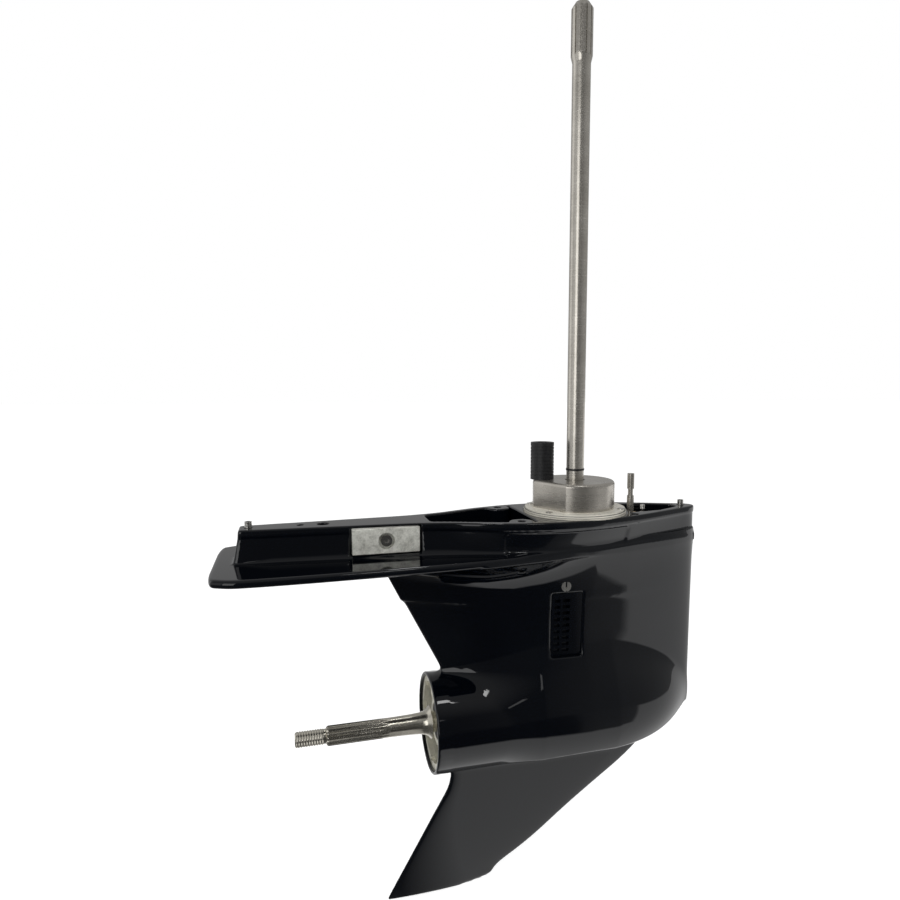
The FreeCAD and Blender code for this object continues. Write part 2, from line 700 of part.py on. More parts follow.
def hexagon(radius, y0, y1, x, z):
    """A six-sided prism along Y."""
    points = []
    for i in range(6):
        a = math.radians(60 * i)
        points.append(V(x + radius * math.cos(a), y0, z + radius * math.sin(a)))
    return Part.Face(Part.makePolygon(points + [points[0]])).extrude(V(0, y1 - y0, 0))


def anode_bolt():
    """One screw runs through both anodes, with its head to starboard."""
    seat = ANODE_SEAT_Y + ANODE_THICK - ANODE_RECESS_D
    head = along_y(6.6, -seat - 4.6, -seat, ANODE_X, ANODE_Z)
    socket = hexagon(3.4, -seat - 5.0, -seat - 1.8, ANODE_X, ANODE_Z)
    shank = along_y(ANODE_BOLT_R, -seat, seat + 5.0, ANODE_X, ANODE_Z)
    return head.cut(socket).fuse(shank)


def anode_nut():
    seat = ANODE_SEAT_Y + ANODE_THICK - ANODE_RECESS_D
    nut = hexagon(7.2, seat, seat + 4.4, ANODE_X, ANODE_Z)
    return nut.cut(along_y(ANODE_BOLT_R + SLIP, seat - 1, seat + 6, ANODE_X, ANODE_Z))


def plug_on(point, direction):
    """A slotted plug and its sealing washer, seated at a point and screwed in against direction."""
    washer = Part.makeCylinder(PLUG_HEAD_R, WASHER_T, point, direction)
    washer = washer.cut(Part.makeCylinder(PLUG_R + SLIP, 5.0, point - direction, direction))
    head_at = point + direction * WASHER_T
    head = Part.makeCylinder(PLUG_HEAD_R, PLUG_HEAD_T, head_at, direction)
    shank = Part.makeCylinder(PLUG_R, PLUG_LENGTH + WASHER_T - 1, head_at, -direction)
    slot = Part.makeBox(2.0, 20.0, 3.0, V(-1.0, -10.0, 0.0))
    turn = FreeCAD.Rotation(V(0, 0, 1), direction)
    slot.Placement = FreeCAD.Placement(head_at + direction * (PLUG_HEAD_T - 1.6), turn)
    return head.cut(slot).fuse(shank), washer


def build_trim():
    """Dowels, anodes and plugs."""
    save("dowel_pins", dowels())
    save("anode_starboard", anode(-1))
    save("anode_port", anode(1))
    save("anode_bolt", anode_bolt())
    save("anode_nut", anode_nut())
    vent, vent_washer = plug_on(V(VENT_X, -vent_seat_y(), VENT_Z), V(0, -1, 0))
    save("oil_vent_plug", vent)
    fill, fill_washer = plug_on(fill_point(TORPEDO_R - FILL_SEAT_DEPTH), fill_direction())
    save("oil_fill_plug", fill)
    save("plug_washers", Part.makeCompound([vent_washer, fill_washer]))


# Gears


def involute_half_angle(radius, base, pitch, half_at_pitch):
    """Half the tooth's angle at a radius, for an involute flank."""
    radius = max(radius, base)

    def inv(r):
        a = math.acos(min(base / r, 1.0))
        return math.tan(a) - a
    return half_at_pitch + inv(pitch) - inv(radius)


def tooth_points(teeth, cone_angle):
    """One tooth's outer end: (distance from the back cone's apex, angle round the gear's axis)."""
    virtual = MODULE * teeth / math.cos(cone_angle) / 2
    base = virtual * math.cos(math.radians(PRESSURE_ANGLE))
    thick = math.pi * MODULE / 2 - BACKLASH / 2
    half = thick / 2 / virtual
    root = virtual - MODULE * (1 + TIP_CLEARANCE) - ROOT_EXTRA
    flank_low = max(base, virtual - MODULE * 1.05)
    flank = virtual + MODULE - flank_low
    radii = [root] + [flank_low + flank * i / FLANK_POINTS for i in range(FLANK_POINTS + 1)]
    side = [(r, involute_half_angle(r, base, virtual, half)) for r in radii]
    points = [(r, -a) for r, a in side] + [(r, a) for r, a in reversed(side)]
    return [(r, a / math.cos(cone_angle)) for r, a in points]


def gear_tooth(teeth, cone_angle):
    """A straight bevel tooth about the +Z axis with its apex at the origin, centred on +X."""
    cone_distance = MODULE * teeth / 2 / math.sin(cone_angle)
    back_apex = cone_distance / math.cos(cone_angle)
    outer = []
    for rho, angle in tooth_points(teeth, cone_angle):
        r = rho * math.cos(cone_angle)
        z = back_apex - rho * math.sin(cone_angle)
        outer.append(V(r * math.cos(angle), r * math.sin(angle), z))
    inner = [p * (1.0 - GEAR_FACE_SHARE) for p in outer]
    count = len(outer)
    faces = []
    for loop in (outer, inner):
        centre = V(0, 0, 0)
        for p in loop:
            centre += p * (1.0 / count)
        for i in range(count):
            corners = [centre, loop[i], loop[(i + 1) % count], centre]
            faces.append(Part.Face(Part.makePolygon(corners)))
    for i in range(count):
        j = (i + 1) % count
        corners = [outer[i], outer[j], inner[j], inner[i], outer[i]]
        faces.append(Part.Face(Part.makePolygon(corners)))
    solid = Part.makeSolid(Part.makeShell(faces))
    if solid.Volume < 0:
        solid.reverse()
    return solid


def gear_blank(teeth, cone_angle, back, bore_r):
    """The turned body under the teeth, about +Z, with its apex at the origin."""
    cone_distance = MODULE * teeth / 2 / math.sin(cone_angle)
    depth = MODULE * (1 + TIP_CLEARANCE)
    along = (math.sin(cone_angle), math.cos(cone_angle))
    across = (math.cos(cone_angle), -math.sin(cone_angle))

    def root_point(distance):
        share = distance / cone_distance
        r = along[0] * distance - across[0] * depth * share
        z = along[1] * distance - across[1] * depth * share
        return (r, z)

    outer = root_point(cone_distance)
    inner = root_point(cone_distance * (1.0 - GEAR_FACE_SHARE))
    return turned_z([(bore_r, inner[1]), inner, outer, (outer[0] + 0.6, back), (bore_r, back)])


def pinion():
    """The pinion, teeth down, with a hub above them."""
    back = pinion_back_z() - PROP_AXIS_Z
    body = gear_blank(TEETH_PINION, CONE_PINION, back, SHAFT_PINION_R + SLIP)
    teeth = spun(gear_tooth(TEETH_PINION, CONE_PINION), TEETH_PINION, V(0, 0, 0), UP)
    gear = body.multiFuse(teeth)
    gear = gear.cut(along_z(SHAFT_PINION_R + SLIP, 0.0, 80.0))
    gear.translate(V(0, 0, PROP_AXIS_Z))
    return gear


def gear_jaws(sign):
    """The ring of jaws on a gear's inner face, which the clutch drives."""
    tip = CLUTCH_HALF + JAW_HEIGHT + JAW_GAP
    x0, x1 = tip, tip + JAW_HEIGHT + 0.8
    ring = tube_x(CLUTCH_R, JAW_INNER_R, x0, x1)
    sectors = spun(jaw_sector(x0 - 1, x1 + 1), JAWS, PROP_CENTRE, FORWARD, 180.0 / JAWS)
    jaws = fused([ring.common(sector) for sector in sectors])
    if sign < 0:
        jaws = jaws.mirror(V(0, 0, 0), V(1, 0, 0))
    return jaws


def jaw_sector(x0, x1):
    """A wedge about the propeller axis, as wide as one jaw."""
    half = math.radians(360.0 / JAWS * JAW_SHARE / 2)
    far = 2 * CLUTCH_R
    points = [
        V(x0, 0, PROP_AXIS_Z),
        V(x0, far * math.sin(half), PROP_AXIS_Z + far * math.cos(half)),
        V(x0, -far * math.sin(half), PROP_AXIS_Z + far * math.cos(half)),
    ]
    return Part.Face(Part.makePolygon(points + [points[0]])).extrude(V(x1 - x0, 0, 0))


def bevel_gear(sign, hub_r, hub_end):
    """The forward (sign +1) or reverse (sign -1) gear, with its hub and jaws."""
    web = CLUTCH_HALF + 2 * JAW_HEIGHT + JAW_GAP + 0.5
    blank = gear_blank(TEETH_GEAR, CONE_GEAR, GEAR_BACK, CLUTCH_R + 1.2)
    teeth = spun(
        gear_tooth(TEETH_GEAR, CONE_GEAR), TEETH_GEAR, V(0, 0, 0), UP, 180.0 / TEETH_GEAR
    )
    ring = blank.multiFuse(teeth)
    ring.rotate(V(0, 0, 0), V(0, 1, 0), 90)
    ring.translate(V(0, 0, PROP_AXIS_Z))
    if sign < 0:
        ring = ring.mirror(V(0, 0, 0), V(1, 0, 0))
    bore = PROP_INNER_R + HUB_BORE_GAP
    x0, x1 = sorted((sign * web, sign * GEAR_BACK))
    disc = tube_x(CLUTCH_R + 8.0, bore, x0, x1)
    x0, x1 = sorted((sign * (GEAR_BACK - 1), sign * hub_end))
    hub = tube_x(hub_r, bore, x0, x1)
    return ring.multiFuse([disc, hub, gear_jaws(sign)])


def tapered_bearing_z(top_z, outer_r, inner_r, height):
    """Cup, rollers and cone of a tapered bearing on an upright axis."""
    wide = outer_r - CUP_WALL
    narrow = wide - CUP_TAPER
    bottom = top_z - height
    seat = outer_r - SLIP
    cup = turned_z([(seat, bottom), (seat, top_z), (wide, top_z), (narrow, bottom)])
    low, high = bottom + CONE_END, top_z - CONE_END
    cone = turned_z(
        [(inner_r, low), (inner_r, high), (wide - ROLLER_SPACE, high), (narrow - ROLLER_SPACE, low)]
    )
    return cup, cone, wide, narrow


def tapered_rollers(count, wide, narrow, top_z, height):
    """Rollers leaning between cup and cone, about the Z axis."""
    foot = V(narrow - ROLLER_SPACE / 2 + ROLLER_LEAN, 0, top_z - height + ROLLER_END)
    head = V(wide - ROLLER_SPACE / 2 - ROLLER_LEAN, 0, top_z - ROLLER_END)
    roller = Part.makeCylinder(ROLLER_R, (head - foot).Length, foot, head - foot)
    return Part.makeCompound(spun(roller, count, V(0, 0, 0), UP))


def lay_forward(shape, x):
    """Turns a piece built about +Z at the origin to lie along +X on the propeller axis, its base at x."""
    out = shape.copy()
    out.rotate(V(0, 0, 0), V(0, 1, 0), 90)
    out.translate(V(x, 0, PROP_AXIS_Z))
    return out


def build_bearings():
    cup, cone, wide, narrow = tapered_bearing_z(
        UPPER_BEARING_TOP_Z, UPPER_BEARING_R, SHAFT_COLLAR_R, UPPER_BEARING_H
    )
    save("drive_bearing_cup", cup)
    save("drive_bearing_cone", cone)
    rollers = tapered_rollers(
        UPPER_BEARING_ROLLERS, wide, narrow, UPPER_BEARING_TOP_Z, UPPER_BEARING_H
    )
    save("drive_bearing_rollers", rollers)
    foot, top = UPPER_BEARING_TOP_Z, UPPER_BEARING_TOP_Z + RETAINER_H
    inner = UPPER_BEARING_R - RETAINER_WALL
    ring = tube_z(UPPER_BEARING_R - SLIP, inner, foot, top)
    half = RETAINER_NOTCH / 2
    notch = block(-half, half, inner - 5.0, UPPER_BEARING_R + 10.0, (foot + top) / 2, top + 1)
    notches = spun(notch, RETAINER_NOTCHES, V(0, 0, 0), UP)
    save("drive_bearing_retainer", ring.cut(Part.makeCompound(notches)))

    bearing_z = pinion_back_z() + PINION_BEARING_GAP
    top = bearing_z + PINION_BEARING_H
    track = PINION_BEARING_R - PINION_SHELL_WALL
    save("pinion_bearing_shell", tube_z(PINION_BEARING_R - SLIP, track, bearing_z, top))
    roller = along_z(PINION_ROLLER_R, bearing_z + 1.5, top - 1.5, track - SLIP - PINION_ROLLER_R)
    rollers = spun(roller, PINION_ROLLERS, V(0, 0, 0), UP)
    save("pinion_bearing_rollers", Part.makeCompound(rollers))

    end = FORWARD_BEARING_X0 + FORWARD_BEARING_L
    cup, cone, wide, narrow = tapered_bearing_z(
        0.0, FORWARD_BEARING_R, FORWARD_HUB_R, FORWARD_BEARING_L
    )
    rollers = tapered_rollers(FORWARD_BEARING_ROLLERS, wide, narrow, 0.0, FORWARD_BEARING_L)
    for name, shape in (
        ("forward_bearing_cup", cup),
        ("forward_bearing_cone", cone),
        ("forward_bearing_rollers", rollers),
    ):
        save(name, lay_forward(shape, end))

    x0, x1 = REVERSE_BEARING_X0, REVERSE_BEARING_X0 + REVERSE_BEARING_L
    middle = (x0 + x1) / 2
    pitch = (REVERSE_BEARING_R + REVERSE_HUB_R) / 2
    groove = Part.makeTorus(pitch, REVERSE_BALL_R + 0.1, V(middle, 0, PROP_AXIS_Z), FORWARD)
    outer = tube_x(REVERSE_BEARING_R - SLIP, pitch + REVERSE_RACE_GAP, x0, x1).cut(groove)
    inner = tube_x(pitch - REVERSE_RACE_GAP, REVERSE_HUB_R, x0, x1).cut(groove)
    save("reverse_bearing_outer_race", outer)
    save("reverse_bearing_inner_race", inner)
    ball = Part.makeSphere(REVERSE_BALL_R, V(middle, 0, PROP_AXIS_Z + pitch))
    balls = spun(ball, REVERSE_BALLS, PROP_CENTRE, FORWARD)
    save("reverse_bearing_balls", Part.makeCompound(balls))


def build_gears():
    save("pinion_gear", pinion())
    save("forward_gear", bevel_gear(1, FORWARD_HUB_R, FORWARD_BEARING_X0 + FORWARD_BEARING_L))
    save("reverse_gear", bevel_gear(-1, REVERSE_HUB_R, -REVERSE_BEARING_X0))
    low = PROP_AXIS_Z + CLUTCH_R + 1.3
    high = PROP_AXIS_Z + MODULE * TEETH_GEAR / 2 * (1 - GEAR_FACE_SHARE) + 0.6
    corners = []
    for i in range(7):
        a = math.radians(60 * i)
        corners.append(V(PINION_NUT_R * math.cos(a), PINION_NUT_R * math.sin(a), low))
    nut = prism(Part.makePolygon(corners), high - low)
    save("pinion_nut", nut.cut(along_z(SHAFT_NUT_THREAD_R + SLIP, low - 1, high + 1)))


# Shafts


def splined(shape, count, radius, depth, width, start, end, axis):
    """Cuts straight grooves into a round shaft, leaving the lands at its full radius."""
    if axis == "z":
        groove = block(radius - depth, radius + 2, -width / 2, width / 2, start, end)
        return shape.cut(Part.makeCompound(spun(groove, count, V(0, 0, 0), UP)))
    low, high = PROP_AXIS_Z + radius - depth, PROP_AXIS_Z + radius + 2
    groove = block(start, end, -width / 2, width / 2, low, high)
    return shape.cut(Part.makeCompound(spun(groove, count, PROP_CENTRE, FORWARD)))


def drive_shaft():
    back = pinion_back_z()
    bearing_top = back + PINION_BEARING_GAP + PINION_BEARING_H
    nut_top = PROP_AXIS_Z + MODULE * TEETH_GEAR / 2 * (1 - GEAR_FACE_SHARE) + 0.6
    nut_low = PROP_AXIS_Z + CLUTCH_R + 1.0
    race_r = PINION_BEARING_R - PINION_SHELL_WALL - 2 * PINION_ROLLER_R - 2 * SLIP
    spline_z = SHAFT_TOP_Z - SHAFT_SPLINE_LENGTH
    cone_low = UPPER_BEARING_TOP_Z - UPPER_BEARING_H
    profile = [
        (0.0, nut_low),
        (SHAFT_NUT_THREAD_R, nut_low),
        (SHAFT_NUT_THREAD_R, nut_top),
        (SHAFT_PINION_R, nut_top + 0.1),
        (SHAFT_PINION_R, back),
        (race_r, back + 0.1),
        (race_r, bearing_top + 2),
        (SHAFT_R, bearing_top + 8),
        (SHAFT_R, cone_low - 2),
        (SHAFT_SHOULDER_R, cone_low - 1),
        (SHAFT_SHOULDER_R, cone_low + 0.5),
        (SHAFT_COLLAR_R, cone_low + 0.5),
        (SHAFT_COLLAR_R, UPPER_BEARING_TOP_Z - 0.5),
        (SHAFT_R, UPPER_BEARING_TOP_Z),
        (SHAFT_R, SLINGER_Z),
        (SHAFT_R - SLINGER_DEPTH, SLINGER_Z),
        (SHAFT_R - SLINGER_DEPTH, SLINGER_Z + SLINGER_H),
        (SHAFT_R, SLINGER_Z + SLINGER_H),
        (SHAFT_R, spline_z - 4.0),
        (SHAFT_SPLINE_R, spline_z + 4.0),
        (SHAFT_SPLINE_R, SHAFT_TOP_Z - 7.0),
        (SHAFT_SPLINE_R - 4.5, SHAFT_TOP_Z),
        (0.0, SHAFT_TOP_Z),
    ]
    shaft = turned_z(profile)
    shaft = splined(
        shaft, SHAFT_SPLINES, SHAFT_SPLINE_R, 2.0, 1.5, spline_z + 3.0, SHAFT_TOP_Z + 1, "z"
    )
    key = block(SHAFT_R - KEY_DEPTH, SHAFT_R + 2, -KEY_WIDTH / 2, KEY_WIDTH / 2, KEY_Z0, KEY_Z1)
    return shaft.cut(key)


def build_drive_shaft():
    save("drive_shaft", drive_shaft())
    ring = tube_z(SHAFT_R + 0.5, SHAFT_R - SLINGER_DEPTH, SLINGER_Z, SLINGER_Z + SLINGER_H)
    save("drive_shaft_seal_ring", ring)
    half = KEY_WIDTH / 2
    save("impeller_key", block(SHAFT_R - KEY_DEPTH, SHAFT_R + KEY_STAND, -half, half, KEY_Z0, KEY_Z1))


def prop_shaft():
    thread_x = PROP_SHAFT_AFT_X + PROP_THREAD_LENGTH
    spline_x = thread_x + PROP_SPLINE_LENGTH
    profile = [
        (PROP_SHAFT_AFT_X, 0.0),
        (PROP_SHAFT_AFT_X, PROP_THREAD_R - 1.5),
        (PROP_SHAFT_AFT_X + 1.5, PROP_THREAD_R),
        (thread_x, PROP_THREAD_R),
        (thread_x, PROP_SHAFT_R - 1.0),
        (thread_x + 2.0, PROP_SHAFT_R),
        (PROP_CONE_X0, PROP_SHAFT_R),
        (PROP_CONE_X1, PROP_CONE_R),
        (PROP_CONE_X1 + 3.0, PROP_CONE_R),
        (PROP_CONE_X1 + 3.0, PROP_INNER_R),
        (PROP_FRONT_X, PROP_INNER_R),
        (PROP_FRONT_X, 0.0),
    ]
    shaft = turned_x(profile)
    shaft = splined(shaft, PROP_SPLINES, PROP_SHAFT_R, 1.3, 1.1, thread_x - 1, spline_x, "x")
    reach = CLUTCH_HALF + JAW_HEIGHT + CLUTCH_STROKE + 1.5
    shaft = splined(shaft, CLUTCH_SPLINES, PROP_INNER_R, 1.2, 2.4, -reach, reach, "x")
    shaft = shaft.cut(along_x(ACTUATOR_BORE_R, -22.0, PROP_FRONT_X + 1))
    slot_half = CLUTCH_STROKE + 0.6
    pin_r = CROSS_PIN_R + 0.15
    slot = block(-slot_half, slot_half, -pin_r, pin_r, PROP_AXIS_Z - 20, PROP_AXIS_Z + 20)
    ends = [along_z(pin_r, PROP_AXIS_Z - 20, PROP_AXIS_Z + 20, x) for x in (-slot_half, slot_half)]
    return shaft.cut(Part.makeCompound([slot] + ends))


def clutch_dog():
    """The sliding clutch: jaws on both ends, internal splines and a hole for the cross pin."""
    half = CLUTCH_HALF + JAW_HEIGHT
    bore = PROP_INNER_R + SLIP
    body = tube_x(CLUTCH_R, bore, -CLUTCH_HALF, CLUTCH_HALF)
    ring = tube_x(CLUTCH_R, JAW_INNER_R, -half, half)
    sectors = spun(jaw_sector(-half - 1, half + 1), JAWS, PROP_CENTRE, FORWARD)
    jaws = [ring.common(sector) for sector in sectors]
    low, high = PROP_AXIS_Z + PROP_INNER_R - 1.0, PROP_AXIS_Z + bore + 0.6
    ridge = block(-CLUTCH_HALF, CLUTCH_HALF, -1.1, 1.1, low, high)
    ridges = spun(ridge, CLUTCH_SPLINES, PROP_CENTRE, FORWARD)
    dog = body.multiFuse(jaws + ridges)
    hole = along_z(CROSS_PIN_R + SLIP, PROP_AXIS_Z - 40, PROP_AXIS_Z + 40)
    groove = tube_x(CLUTCH_R + 2, CLUTCH_R - 1.6, -2.0, 2.0)
    return dog.cut(hole).cut(groove)


def actuator():
    """The rod inside the propeller shaft, with the grooved spool that the shift crank moves."""
    half_groove = CRANK_PIN_R + SPOOL_CLEARANCE
    x0, x1 = SHIFT_X - half_groove - SPOOL_FLANGE, SHIFT_X + half_groove + SPOOL_FLANGE
    rod = along_x(ACTUATOR_BORE_R - SLIP, -14.0, x0 + 1)
    flanges = [
        along_x(SPOOL_R, x0, x0 + SPOOL_FLANGE),
        along_x(SPOOL_GROOVE_R, x0, x1),
        along_x(SPOOL_R, x1 - SPOOL_FLANGE, x1),
    ]
    body = rod.multiFuse(flanges)
    return body.cut(along_z(CROSS_PIN_R + SLIP, PROP_AXIS_Z - 12, PROP_AXIS_Z + 12))


def build_prop_shaft():
    save("propeller_shaft", prop_shaft())
    save("clutch_dog", clutch_dog())
    pin_half = CLUTCH_R - 1.8
    save("clutch_cross_pin", along_z(CROSS_PIN_R, PROP_AXIS_Z - pin_half, PROP_AXIS_Z + pin_half))
    save("clutch_pin_spring", tube_x(CLUTCH_R - SLIP, CLUTCH_R - 1.5, -1.8, 1.8))
    save("shift_actuator", actuator())


def crank_levels():
    low = PROP_AXIS_Z + SPOOL_R + 1.0
    return low, low + CRANK_T


def shift_shaft():
    low, _ = crank_levels()
    head_z = SHIFT_TOP_Z - SHIFT_SPLINE_LENGTH
    neck_z = head_z - SHIFT_NECK_LENGTH
    rod = fused(
        [
            along_z(SHIFT_SHAFT_R, low, neck_z, SHIFT_X),
            along_z(SHIFT_NECK_R, neck_z - 1, head_z + 1, SHIFT_X),
            along_z(SHIFT_SHAFT_R, head_z, SHIFT_TOP_Z, SHIFT_X),
        ]
    )
    x0, x1 = SHIFT_X + SHIFT_SHAFT_R - SHIFT_GROOVE_DEPTH, SHIFT_X + SHIFT_SHAFT_R + 1
    half = SHIFT_GROOVE_WIDTH / 2
    groove = block(x0, x1, -half, half, head_z - 1, SHIFT_TOP_Z + 1)
    return rod.cut(Part.makeCompound(spun(groove, SHIFT_SPLINES, V(SHIFT_X, 0, 0), UP)))


def shift_crank():
    """The arm on the shift shaft's foot, with the pin that stands in the actuator's groove."""
    low, high = crank_levels()
    eye = CRANK_PIN_R + 1.0
    arm = fused(
        [
            along_z(CRANK_HUB_R, low, low + CRANK_SOCKET_DEPTH, SHIFT_X),
            along_z(eye, low, high, SHIFT_X, -CRANK_RADIUS),
            block(SHIFT_X - eye, SHIFT_X + eye, -CRANK_RADIUS, 0.0, low, high),
            along_z(CRANK_PIN_R, PROP_AXIS_Z - 9.0, high, SHIFT_X, -CRANK_RADIUS),
        ]
    )
    return arm.cut(along_z(SHIFT_SHAFT_R + SLIP, low - 1, low + CRANK_SOCKET_DEPTH + 1, SHIFT_X))


def hose_fitting(floor):
    """The barbed fitting that carries the speedometer's hose."""
    base, tube, barb = 5.0, 2.6, 3.4
    profile = [
        (0.0, 0.0), (base, 0.0), (base, 5.0), (tube, 6.0), (tube, 9.0),
        (barb, 9.5), (tube, 12.0), (barb, 12.5), (tube, 15.0), (0.0, 15.0),
    ]
    profile = [(r, floor + z) for r, z in profile]
    return turned_z(profile, HOSE_FITTING_X, HOSE_FITTING_Y)


def build_shift():
    save("shift_shaft", shift_shaft())
    save("shift_crank", shift_crank())
    floor = -FRONT_CAVITY_DEPTH
    collar = along_z(SHIFT_BUSH_R, floor, floor + 8.0, SHIFT_X)
    bush = collar.fuse(along_z(SHIFT_BORE_R - SLIP, floor - 16.0, floor + 1, SHIFT_X))
    save("shift_shaft_bushing", bush.cut(along_z(SHIFT_SHAFT_R + SLIP, -60.0, 5.0, SHIFT_X)))
    save("speedometer_hose_fitting", hose_fitting(floor))


# Water pump


def pump_screw_place(angle):
    a = math.radians(angle)
    return PUMP_SCREW_CIRCLE_R * math.cos(a), PUMP_SCREW_CIRCLE_R * math.sin(a)


def pump_levels():
    """Heights of the pump's stack on the deck."""
    base = PUMP_BASE_T - PUMP_SEAT_DEPTH
    plate = base + GASKET_T
    gasket = plate + WEAR_PLATE_T
    flange = gasket + GASKET_T
    return base, plate, gasket, flange


def screw_holes(z0, z1):
    return [
        along_z(PUMP_SCREW_R + THREAD_RELIEF, z0, z1, *pump_screw_place(angle))
        for angle in PUMP_SCREW_ANGLES
    ]


def inlet_holes(z0, z1):
    """Water comes up through these from the strut's two galleries."""
    return [along_z(GALLERY_R, z0, z1, GALLERY_X, side * GALLERY_Y) for side in (-1, 1)]


def pump_base():
    base, _, _, _ = pump_levels()
    flange = along_z(PUMP_BASE_R, -PUMP_SEAT_DEPTH, base)
    spigot = along_z(PUMP_SPIGOT_R - SLIP, -PUMP_SPIGOT_DEPTH, base)
    body = flange.fuse(spigot)
    seal_top = -PUMP_SPIGOT_DEPTH + 2 * DRIVE_SEAL_H + 2.0
    seal_seat = along_z(DRIVE_SEAL_R + SLIP, -PUMP_SPIGOT_DEPTH - 1, seal_top)
    bore = along_z(SHAFT_R + PUMP_SHAFT_GAP, -PUMP_SPIGOT_DEPTH, base + 1)
    holes = screw_holes(-5, base + 1) + inlet_holes(-5, base + 1)
    return body.cut(Part.makeCompound([seal_seat, bore] + holes))


def flat_ring(z0, z1, outer, inner):
    ring = tube_z(outer, inner, z0, z1)
    return ring.cut(Part.makeCompound(screw_holes(z0 - 1, z1 + 1) + inlet_holes(z0 - 1, z1 + 1)))


def pump_outline():
    """The pump body's outline: round, with a flat towards the aft port quarter."""
    low = pump_levels()[3]
    body = along_z(PUMP_BODY_R, low, PUMP_TOP_Z, PUMP_BODY_X)
    flat = block(PUMP_FLAT_R, PUMP_FLAT_R + 20.0, -60.0, 60.0, low - 5.0, PUMP_TOP_Z + 5)
    flat.rotate(V(0, 0, 0), UP, PUMP_FLAT_ANGLE)
    flat.translate(V(PUMP_BODY_X, 0, 0))
    body = body.cut(flat)
    top = [e for e in body.Edges if e.BoundBox.ZMin > PUMP_TOP_Z - 0.01]
    return body.makeFillet(PUMP_RIM_FILLET, top)


def pump_housing():
    _, _, _, flange_z = pump_levels()
    flange = along_z(PUMP_BASE_R - PUMP_FLANGE_INSET, flange_z, flange_z + PUMP_FLANGE_T)
    body = pump_outline().fuse(flange)
    chamber = along_z(PUMP_CUP_R, flange_z - 1, PUMP_TOP_Z - PUMP_TOP_T)
    bore = along_z(SHAFT_R + PUMP_SHAFT_GAP, flange_z, PUMP_TOP_Z + 1)
    outlet_z = PUMP_TOP_Z - PUMP_TOP_T - 12.0
    outlet = along_z(TUBE_BORE_R - 1.5, outlet_z, PUMP_TOP_Z + 1, TUBE_X, TUBE_Y)
    body = body.cut(Part.makeCompound([chamber, bore, outlet] + screw_holes(0, 12)))
    return body


def build_pump():
    base, plate, gasket, flange_z = pump_levels()
    save("pump_base", pump_base())
    seals = []
    for z in (-PUMP_SPIGOT_DEPTH, -PUMP_SPIGOT_DEPTH + DRIVE_SEAL_H + 0.5):
        seals.append(tube_z(DRIVE_SEAL_R, SHAFT_R + SLIP, z, z + DRIVE_SEAL_H))
    save("drive_shaft_oil_seals", Part.makeCompound(seals))
    gasket_r = PUMP_BASE_R - PUMP_GASKET_INSET
    lower_gasket = flat_ring(base, plate, gasket_r, PUMP_CHAMBER_R - 1.0)
    upper_gasket = flat_ring(gasket, flange_z, gasket_r, PUMP_CUP_R + 1)
    save("pump_gaskets", Part.makeCompound([lower_gasket, upper_gasket]))
    save("pump_wear_plate", flat_ring(plate, gasket, PUMP_BASE_R, SHAFT_R + PUMP_SHAFT_GAP))
    save("pump_housing", pump_housing())
    top = PUMP_TOP_Z - PUMP_TOP_T
    cup = along_z(PUMP_CUP_R - SLIP, flange_z, top).cut(
        along_z(PUMP_CHAMBER_R, flange_z - 1, top - PUMP_CUP_WALL, 0.0, PUMP_ECCENTRIC)
    )
    cup = cup.cut(along_z(SHAFT_R + PUMP_SHAFT_GAP, 0.0, top + 1))
    save("pump_cup", cup)
    low, high = gasket + 0.7, top - PUMP_CUP_WALL - 0.4
    hub = tube_z(IMPELLER_HUB_R, SHAFT_R + SLIP, low, high)
    half = IMPELLER_VANE_T / 2
    vane = block(IMPELLER_HUB_R - 1.0, IMPELLER_R - IMPELLER_BEAD_R, -half, half, low, high)
    bead = along_z(IMPELLER_BEAD_R, low, high, IMPELLER_R - IMPELLER_BEAD_R)
    vanes = spun(vane.fuse(bead), IMPELLER_VANES, V(0, 0, 0), UP, 30.0)
    half = KEY_WIDTH / 2 + SLIP
    keyway = block(0.0, SHAFT_R + KEY_STAND + 0.1, -half, half, low - 1, high + 1)
    save("pump_impeller", hub.multiFuse(vanes).cut(keyway))
    screws = []
    for angle in PUMP_SCREW_ANGLES:
        x, y = pump_screw_place(angle)
        seat = flange_z + PUMP_FLANGE_T
        head = along_z(PUMP_SCREW_HEAD_R, seat, seat + PUMP_SCREW_HEAD_T, x, y)
        shank = along_z(PUMP_SCREW_R, -PUMP_SCREW_LENGTH + 2, seat, x, y)
        screws.append(head.fuse(shank))
    save("pump_screws", Part.makeCompound(screws))
    tube = tube_z(TUBE_R, TUBE_BORE_R, PUMP_TOP_Z, PUMP_TOP_Z + TUBE_HEIGHT, TUBE_X, TUBE_Y)
    grooves = [
        tube_z(TUBE_R + 1, TUBE_R - TUBE_GROOVE_DEPTH, z, z + TUBE_GROOVE_H, TUBE_X, TUBE_Y)
        for z in [PUMP_TOP_Z + TUBE_GROOVE_START + TUBE_GROOVE_PITCH * i for i in range(TUBE_GROOVES)]
    ]
    save("water_tube_coupling", tube.cut(Part.makeCompound(grooves)))


# Bearing carrier


def carrier_stations():
    flange_x = TORPEDO_AFT_X + RIM_DEPTH
    return flange_x - CARRIER_FLANGE_T, flange_x, flange_x + CARRIER_RING_L


